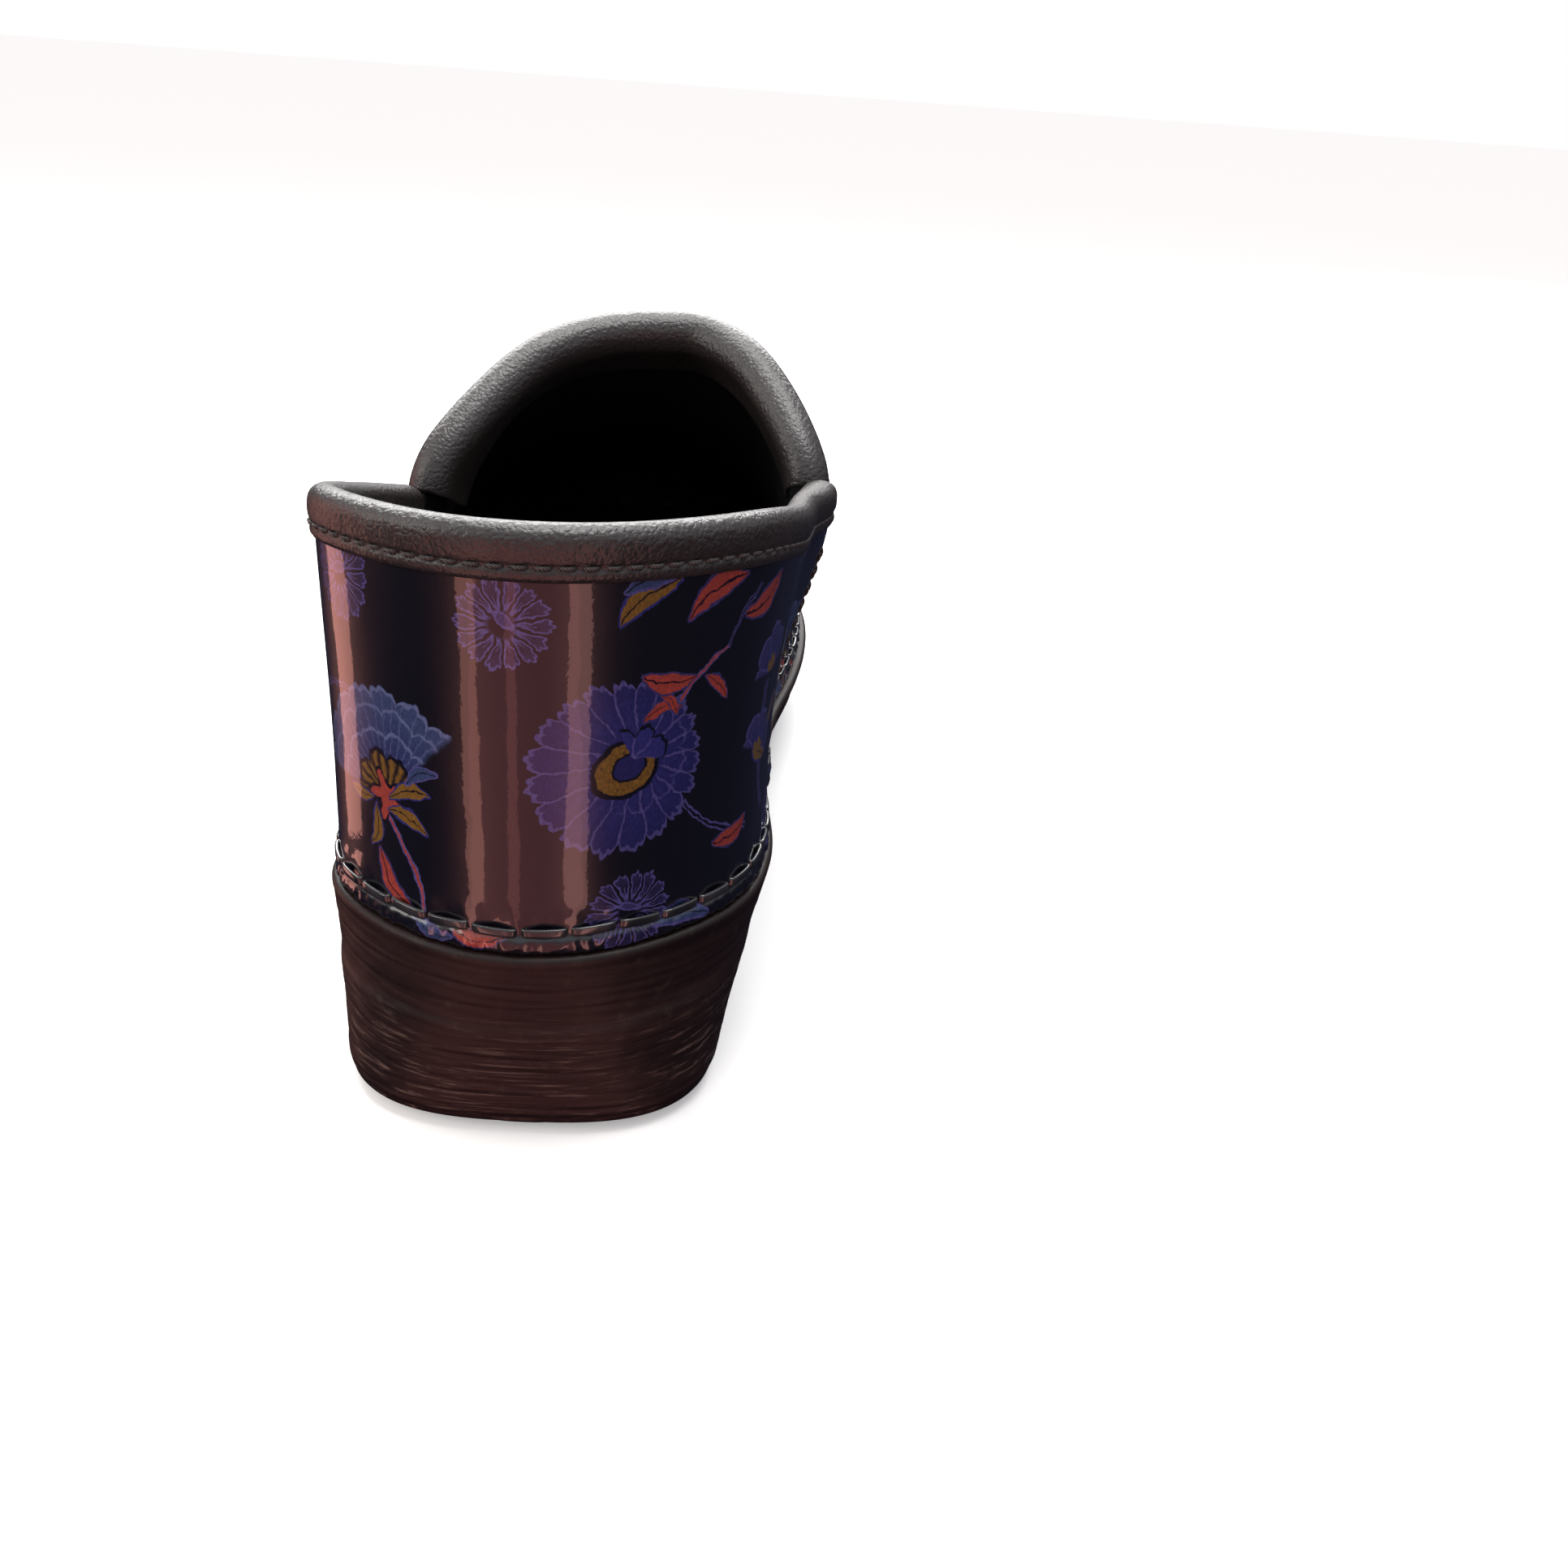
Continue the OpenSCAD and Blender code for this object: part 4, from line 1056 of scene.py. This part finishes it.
# One repeat of the print: motif, place across and up in mm, turn in degrees, size, colours
REPEAT = (116.0, 80.0)
CORAL_LEAF = {"Fill": INK["coral"], "Line": INK["violet"]}
GOLD_LEAF = {"Fill": INK["gold"], "Line": INK["ultra"]}
BLUE_LEAF = {"Fill": INK["steel"], "Line": INK["lilac"]}
CORAL_STEM = {"Fill": INK["coral"], "Line": INK["lilac"]}
BLUE_STEM = {"Fill": INK["night"], "Line": INK["lilac"]}
PRINT = [
    ("stem", 24, 38.5, 40, 0.80, CORAL_STEM), ("stem", 36, 48.5, 48, 0.62, BLUE_STEM),
    ("stem", -25, 21, -62, 0.92, CORAL_STEM), ("stem", -62, 14, 96, 1.25, BLUE_STEM),
    ("stem", 45, 14, 150, 1.0, BLUE_STEM), ("stem", -46, 34, 20, 0.7, BLUE_STEM),
    ("daisy", -2, 56, 0, 0.86, {}), ("daisy", 18, 6.5, 30, 0.86, {}),
    ("bloom", 16, 32, 24, 1.04, {}), ("fan", -23.5, 22.5, 112, 1.3, {}),
    ("leaf", 19.5, 39.5, 12, 0.62, CORAL_LEAF), ("leaf", 22.5, 43.5, -52, 0.46, CORAL_LEAF),
    ("leaf", 29.5, 45.5, 172, 0.88, CORAL_LEAF), ("leaf", 31, 45.0, -42, 0.62, CORAL_LEAF),
    ("leaf", 27, 55, 22, 1.15, CORAL_LEAF), ("leaf", 15, 55.5, 30, 1.05, GOLD_LEAF),
    ("leaf", 16, 60.5, 12, 0.95, BLUE_LEAF), ("leaf", -23.5, 23, 18, 0.78, GOLD_LEAF),
    ("leaf", -23.8, 21, -14, 0.72, GOLD_LEAF), ("leaf", -26.5, 21, -104, 0.7, GOLD_LEAF),
    ("leaf", -27, 22, 176, 0.6, GOLD_LEAF), ("leaf", -19.5, 26.5, 26, 0.62, BLUE_LEAF),
    ("leaf", -19, 4, 128, 1.0, CORAL_LEAF), ("leaf", -2, 3.2, 176, 0.8, CORAL_LEAF),
    ("leaf", -10.5, 2.2, 168, 0.7, BLUE_LEAF), ("leaf", 22, 3, -8, 1.0, BLUE_LEAF),
    ("daisy", -33, 58, 50, 0.9, {}), ("bell", -63, 40, 92, 1.1, {}),
    ("leaf", -62, 28, 24, 0.9, GOLD_LEAF), ("leaf", -61, 24, 150, 0.9, GOLD_LEAF),
    ("bell", 49, 26, 70, 1.0, {}), ("leaf", 45, 16, 190, 0.9, CORAL_LEAF),
    ("leaf", 52, 58, 200, 1.1, CORAL_LEAF), ("daisy", -52, 8, 10, 0.8, {}),
]


def print_nodes(n, vector):
    """The print's colour at a place on the leather, given in mm."""
    drawn = {"Fill": None, "Line": None}
    groups = {"daisy": motif("print_daisy", draw_daisy), "bloom": motif("print_bloom", draw_bloom),
              "fan": motif("print_fan", draw_fan), "bell": motif("print_bell", draw_bell),
              "leaf": motif("print_leaf", draw_leaf, drawn),
              "stem": motif("print_stem", draw_stem, drawn)}
    unsteady = n.noise(vector, 0.22, 2.0, out=1)
    shake = n.scaled(n.vec("SUBTRACT", unsteady, (0.5, 0.5, 0.5)), (2.2, 2.2, 0))
    fine = n.scaled(n.vec("SUBTRACT", n.noise(vector, 1.3, 1.0, out=1), (0.5, 0.5, 0.5)),
                 (0.45, 0.45, 0))
    hand = n.vec("ADD", n.vec("ADD", vector, shake), fine)
    color = INK["ground"]
    for kind, u, v, turn, size, colors in PRINT:
        local = n.vec("SUBTRACT", hand, (u, v, 0))
        local = n.put("ShaderNodeVectorMath", {0: local, 1: (REPEAT[0] / 2, REPEAT[1] / 2, 50),
                                               2: (-REPEAT[0] / 2, -REPEAT[1] / 2, -50)},
                      operation="WRAP")
        local = n.turned(local, -math.radians(turn))
        local = n.scaled(local, (1 / size, 1 / size, 1))
        node = n.tree.nodes.new("ShaderNodeGroup")
        node.node_tree = groups[kind]
        n.tree.links.new(local, node.inputs["Vector"])
        for key, value in colors.items():
            node.inputs[key].default_value = value
        color = n.mix_color(node.outputs["Alpha"], color, node.outputs["Color"])
    return color


# ---------------------------------------------------------------- materials
def patent_material():
    """Black patent leather under a clear glossy film, printed with flowers."""
    material, n, shader = new_material("patent_print")
    where = n.attribute("print_mm")
    color = print_nodes(n, where)
    mm = n.mm()
    pencil = n.noise(n.scaled(where, (2.6, 1.1, 1)), 1.0, 3.0)
    color = n.mix_color(n.ramp(pencil, 0.75, 0.35), color, n.scaled(color, (0.62, 0.62, 0.68)))
    film = n.noise(mm, 0.045, 2.0)
    normal = n.bump(n.blend(n.noise(mm, 0.9, 2.0), 0.035, film), 0.9, 0.35)
    n.feed(shader, {"Base Color": color, "Normal": normal, "Coat Normal": normal, "Roughness": 0.34,
                    "Coat Weight": 1.0, "Coat Roughness": 0.035, "Coat IOR": 1.52})
    return material


def binding_material():
    """Pebbled brown-black leather with a satin finish."""
    material, n, shader = new_material("pebbled_binding")
    mm = n.mm()
    warped = n.vec("ADD", mm, n.scaled(n.noise(mm, 0.8, 2.0, out=1), (0.9, 0.9, 0.9)))
    cells = n.put("ShaderNodeTexVoronoi", {"Vector": warped, "Scale": 1.2}, feature="F1")
    fine = n.noise(mm, 2.6, 4.0, 0.62)
    broad = n.noise(mm, 0.12, 2.0)
    crease = n.ramp(cells, 0.25, 0.75)
    color = n.mix_color(n.ramp(fine, 0.3, 0.75), rgba(0.019, 0.014, 0.014), rgba(0.034, 0.027, 0.026))
    color = n.mix_color(n.times(n.ramp(broad, 0.45, 0.75), 0.4), color, rgba(0.042, 0.033, 0.030))
    height = n.plus(n.times(crease, -0.6), n.times(fine, 0.55))
    n.feed(shader, {"Base Color": color, "Roughness": n.blend(fine, 0.2, 0.26),
                    "Normal": n.bump(height, 0.18, 0.6), "Specular IOR Level": 0.8})
    return material


def sole_material():
    """Dark red-brown layered sole: satin film, fine level lines and pale scuffs low down."""
    material, n, shader = new_material("layered_sole")
    where = n.attribute("sole_mm")
    height = n.split(where)[2]
    mm = n.mm()
    streak = n.noise(n.scaled(where, (0.02, 0.02, 0.5)), 1.0, 5.0, 0.6)
    grain = n.noise(n.scaled(where, (0.09, 0.09, 2.4)), 1.0, 3.0)
    color = n.mix_color(n.ramp(streak, 0.3, 0.7), rgba(0.0085, 0.0028, 0.0028),
                        rgba(0.019, 0.0068, 0.0064))
    color = n.mix_color(n.times(n.ramp(grain, 0.58, 0.8), 0.4), color, rgba(0.05, 0.022, 0.018))
    patch = n.noise(mm, 0.05, 2.0)
    scuff = n.noise(n.scaled(where, (0.1, 0.1, 1.5)), 1.0, 5.0, 0.72)
    spread = n.times(n.ramp(patch, 0.38, 0.52), n.ramp(height, 26, 6))
    worn = n.times(n.ramp(scuff, 0.52, 0.66), spread)
    color = n.mix_color(n.times(worn, 0.75), color, rgba(0.15, 0.10, 0.085))
    chalk = n.times(n.ramp(n.noise(mm, 0.35, 4.0, 0.7), 0.55, 0.8), 0.16)
    color = n.mix_color(chalk, color, rgba(0.12, 0.1, 0.085))
    speck = n.ramp(n.noise(mm, 1.3, 2.0, 0.8), 0.76, 0.79)
    color = n.mix_color(n.times(speck, 0.6), color, rgba(0.3, 0.2, 0.16))
    rough = n.blend(worn, 0.25, n.blend(streak, 0.2, 0.42))
    relief = n.plus(n.times(streak, 0.6), n.times(grain, 0.4))
    n.feed(shader, {"Base Color": color, "Roughness": rough, "Normal": n.bump(relief, 0.13, 0.7),
                    "Specular IOR Level": 0.4})
    return material


def soft_material(name, dark, light, scale, rough, bump):
    """Close-grained cloth or foam in one dark shade."""
    material, n, shader = new_material(name)
    mm = n.mm()
    fine = n.noise(mm, scale, 4.0, 0.65)
    mixed = n.plus(n.times(fine, 0.6), n.times(n.noise(mm, 0.07, 2.0), 0.4))
    n.feed(shader, {"Base Color": n.mix_color(n.ramp(mixed, 0.35, 0.65), rgba(*dark), rgba(*light)),
                    "Roughness": n.blend(fine, 0.16, rough - 0.08),
                    "Normal": n.bump(fine, bump, 0.6)})
    return material


def twisted_material(name, dark, light):
    """Waxed thread: diagonal strands."""
    material, n, shader = new_material(name)
    wave = n.put("ShaderNodeTexWave", {"Vector": n.mm(), "Scale": 1.1, "Distortion": 1.2},
                 bands_direction="DIAGONAL")
    n.feed(shader, {"Base Color": n.mix_color(wave, rgba(*dark), rgba(*light)),
                    "Normal": n.bump(wave, 0.1, 0.6), "Roughness": 0.5})
    return material


def ribbed_material(name, dark, light):
    """Woven tape with fibres across the band."""
    material, n, shader = new_material(name)
    fibres = n.noise(n.scaled(n.mm(), (1.2, 1.2, 5)), 1.0, 3.0)
    n.feed(shader, {"Base Color": n.mix_color(n.ramp(fibres, 0.35, 0.7), rgba(*dark), rgba(*light)),
                    "Normal": n.bump(fibres, 0.15, 0.7), "Roughness": 0.62})
    return material


def wire_material(name, base, rough, metallic, coat=0.0):
    """Drawn wire or plate: fine scratches, and lacquer where coat is given."""
    material, n, shader = new_material(name)
    mm = n.mm()
    scratch = n.noise(mm, 3.0, 3.0)
    patch = n.noise(mm, 0.15, 2.0)
    light = tuple(min(1, 1.9 * c + 0.012) for c in base)
    n.feed(shader, {"Base Color": n.mix_color(n.ramp(patch, 0.35, 0.75), rgba(*base), rgba(*light)),
                    "Roughness": n.blend(scratch, 0.16, rough), "Normal": n.bump(scratch, 0.05, 0.5),
                    "Metallic": metallic, "Coat Weight": coat, "Coat Roughness": 0.05})
    return material


def paint_nodes(material, *names):
    """Gives carried-over CAD nodes their material."""
    for name in names:
        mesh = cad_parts[name].data
        mesh.materials.clear()
        mesh.materials.append(material)


# ---------------------------------------------------------------- studio
EYE = (30.82, -205.55, 169.79)
YAW, PITCH, ROLL = math.radians(2.64), math.radians(26.09), math.radians(4.29)
FOCAL_PER_WIDTH = 1860 / 1932
SENSOR = 36.0


def add_camera():
    ahead = Vector((math.sin(YAW) * math.cos(PITCH), math.cos(YAW) * math.cos(PITCH), -math.sin(PITCH)))
    level = Vector((math.cos(YAW), -math.sin(YAW), 0))
    up = level.cross(ahead)
    right = math.cos(ROLL) * level + math.sin(ROLL) * up
    top = math.cos(ROLL) * up - math.sin(ROLL) * level
    data = bpy.data.cameras.new("camera")
    data.sensor_width = SENSOR
    data.lens = FOCAL_PER_WIDTH * SENSOR
    data.clip_start, data.clip_end = 0.01, 50
    camera = bpy.data.objects.new("camera", data)
    turn = Matrix((right, top, -ahead)).transposed().to_4x4()
    camera.matrix_world = Matrix.Translation(Vector(place([EYE])[0])) @ turn
    bpy.context.scene.collection.objects.link(camera)
    bpy.context.scene.camera = camera


def add_panel(name, at, aim, width, height, color, radiance, roll=0.0):
    """Area light of a given radiance, unseen by the camera."""
    data = bpy.data.lights.new(name, "AREA")
    data.shape = "RECTANGLE"
    data.size, data.size_y = width, height
    data.energy = radiance * math.pi * width * height
    data.color = color
    lamp = bpy.data.objects.new(name, data)
    aim_at = (Vector(aim) - Vector(at)).to_track_quat("-Z", "Y").to_matrix().to_4x4()
    lamp.matrix_world = Matrix.Translation(at) @ aim_at @ Matrix.Rotation(math.radians(roll), 4, "Z")
    lamp.visible_camera = False
    bpy.context.scene.collection.objects.link(lamp)


def add_floor():
    side = 6.0
    mesh = bpy.data.meshes.new("floor")
    corners = [(-side, -side, 0), (side, -side, 0), (side, side, 0), (-side, side, 0)]
    mesh.from_pydata(corners, [], [(0, 1, 2, 3)])
    floor = bpy.data.objects.new("floor", mesh)
    material, n, shader = new_material("pale_floor")
    n.feed(shader, {"Base Color": rgba(0.93, 0.93, 0.93), "Roughness": 0.9,
                    "Specular IOR Level": 0.0, "Emission Color": rgba(1, 1, 1),
                    "Emission Strength": 0.3})
    mesh.materials.append(material)
    bpy.context.scene.collection.objects.link(floor)
    floor.visible_glossy = False
    floor.visible_diffuse = False


def set_world():
    """White to the camera; soft light from above and the left; dim in reflections below."""
    world = bpy.data.worlds.new("studio")
    world.use_nodes = True
    bpy.context.scene.world = world
    tree = world.node_tree
    n = Nodes(tree)
    shader = tree.nodes["Background"]
    ray = tree.nodes.new("ShaderNodeLightPath")
    toward = n.put("ShaderNodeTexCoord", out=0)
    x, _, z = n.split(toward)
    mirrored = n.mix_color(n.ramp(z, -0.1, 0.6), rgba(0.012, 0.013, 0.028), rgba(0.6, 0.62, 0.66))
    left = n.mix_color(n.ramp(x, 0.8, -0.9), rgba(0.28, 0.28, 0.34), rgba(1.15, 1.08, 1.0))
    soft = n.mix_color(n.ramp(z, -0.4, 0.3), rgba(0.3, 0.24, 0.22), left)
    color = n.mix_color(ray.outputs["Is Diffuse Ray"], rgba(1, 1, 1), soft)
    color = n.mix_color(ray.outputs["Is Glossy Ray"], color, mirrored)
    tree.links.new(color, shader.inputs["Color"])
    shader.inputs["Strength"].default_value = 1.0


def light_studio():
    heel = (0.0, -0.12, 0.06)
    warm, pink, dusk = (1.0, 0.42, 0.34), (1.0, 0.46, 0.40), (1.0, 0.34, 0.32)
    add_panel("overhead", (0.05, 0.0, 0.95), heel, 0.75, 0.45, (1.0, 0.99, 0.97), 7.0)
    add_panel("window", (-0.15, 0.75, 0.62), heel, 1.1, 0.5, (1.0, 0.99, 0.97), 8.0)
    add_panel("key_left", (-0.9, -0.35, 0.5), heel, 0.4, 0.5, (1.0, 0.95, 0.88), 3.0)
    add_panel("warm_broad", (-0.04, -0.66, -0.16), heel, 0.72, 0.62, dusk, 0.55)
    add_panel("warm_left", (-0.37, -0.58, -0.14), heel, 0.11, 0.62, warm, 2.2, 7)
    add_panel("warm_middle", (-0.10, -0.60, -0.2), heel, 0.06, 0.4, dusk, 0.9, -2)
    add_panel("warm_right", (0.26, -0.58, -0.14), heel, 0.12, 0.62, pink, 2.0, -8)
    add_panel("edge_left", (-0.55, 0.14, 0.0), heel, 0.16, 0.5, warm, 2.0)


bpy.context.scene.view_settings.view_transform = "Standard"
set_world()
add_floor()
light_studio()
add_camera()

patent = patent_material()
binding_leather = binding_material()
lining = soft_material("lining_cloth", (0.006, 0.006, 0.008), (0.014, 0.013, 0.016), 2.2, 0.62, 0.08)
thread = twisted_material("waxed_thread", (0.012, 0.01, 0.01), (0.09, 0.08, 0.08))
tape = ribbed_material("ribbed_tape", (0.05, 0.05, 0.055), (0.16, 0.16, 0.17))

vamp_piece(patent)
quarter_piece(patent)
lining_pieces(lining)
binding_pieces(binding_leather, thread)
seam_pieces(-1, "lateral", thread, tape)
seam_pieces(1, "medial", thread, tape)
staple_piece(wire_material("black_staple_wire", (0.012, 0.012, 0.014), 0.22, 0.0, 1.0))
sole_piece(sole_material())
footbed_piece(soft_material("sock_liner", (0.008, 0.008, 0.009), (0.02, 0.019, 0.019), 2.8, 0.6, 0.1))

paint_nodes(soft_material("tread_rubber", (0.012, 0.011, 0.011), (0.03, 0.028, 0.026), 1.4, 0.7, 0.12),
            "heel_tread_pad", "forefoot_tread_pad")
paint_nodes(soft_material("frame_polymer", (0.02, 0.012, 0.008), (0.05, 0.03, 0.02), 1.2, 0.55, 0.06),
            "midsole_frame")
paint_nodes(soft_material("heel_foam", (0.03, 0.03, 0.032), (0.08, 0.08, 0.085), 3.0, 0.85, 0.2),
            "heel_cushion")
paint_nodes(soft_material("stiffener_board", (0.10, 0.07, 0.04), (0.2, 0.15, 0.09), 1.8, 0.8, 0.1),
            "toe_puff", "heel_counter")
paint_nodes(soft_material("backer_cloth", (0.05, 0.05, 0.05), (0.11, 0.11, 0.11), 2.4, 0.85, 0.1),
            "vamp_backer")
paint_nodes(wire_material("shank_steel", (0.35, 0.35, 0.36), 0.3, 1.0), "shank")
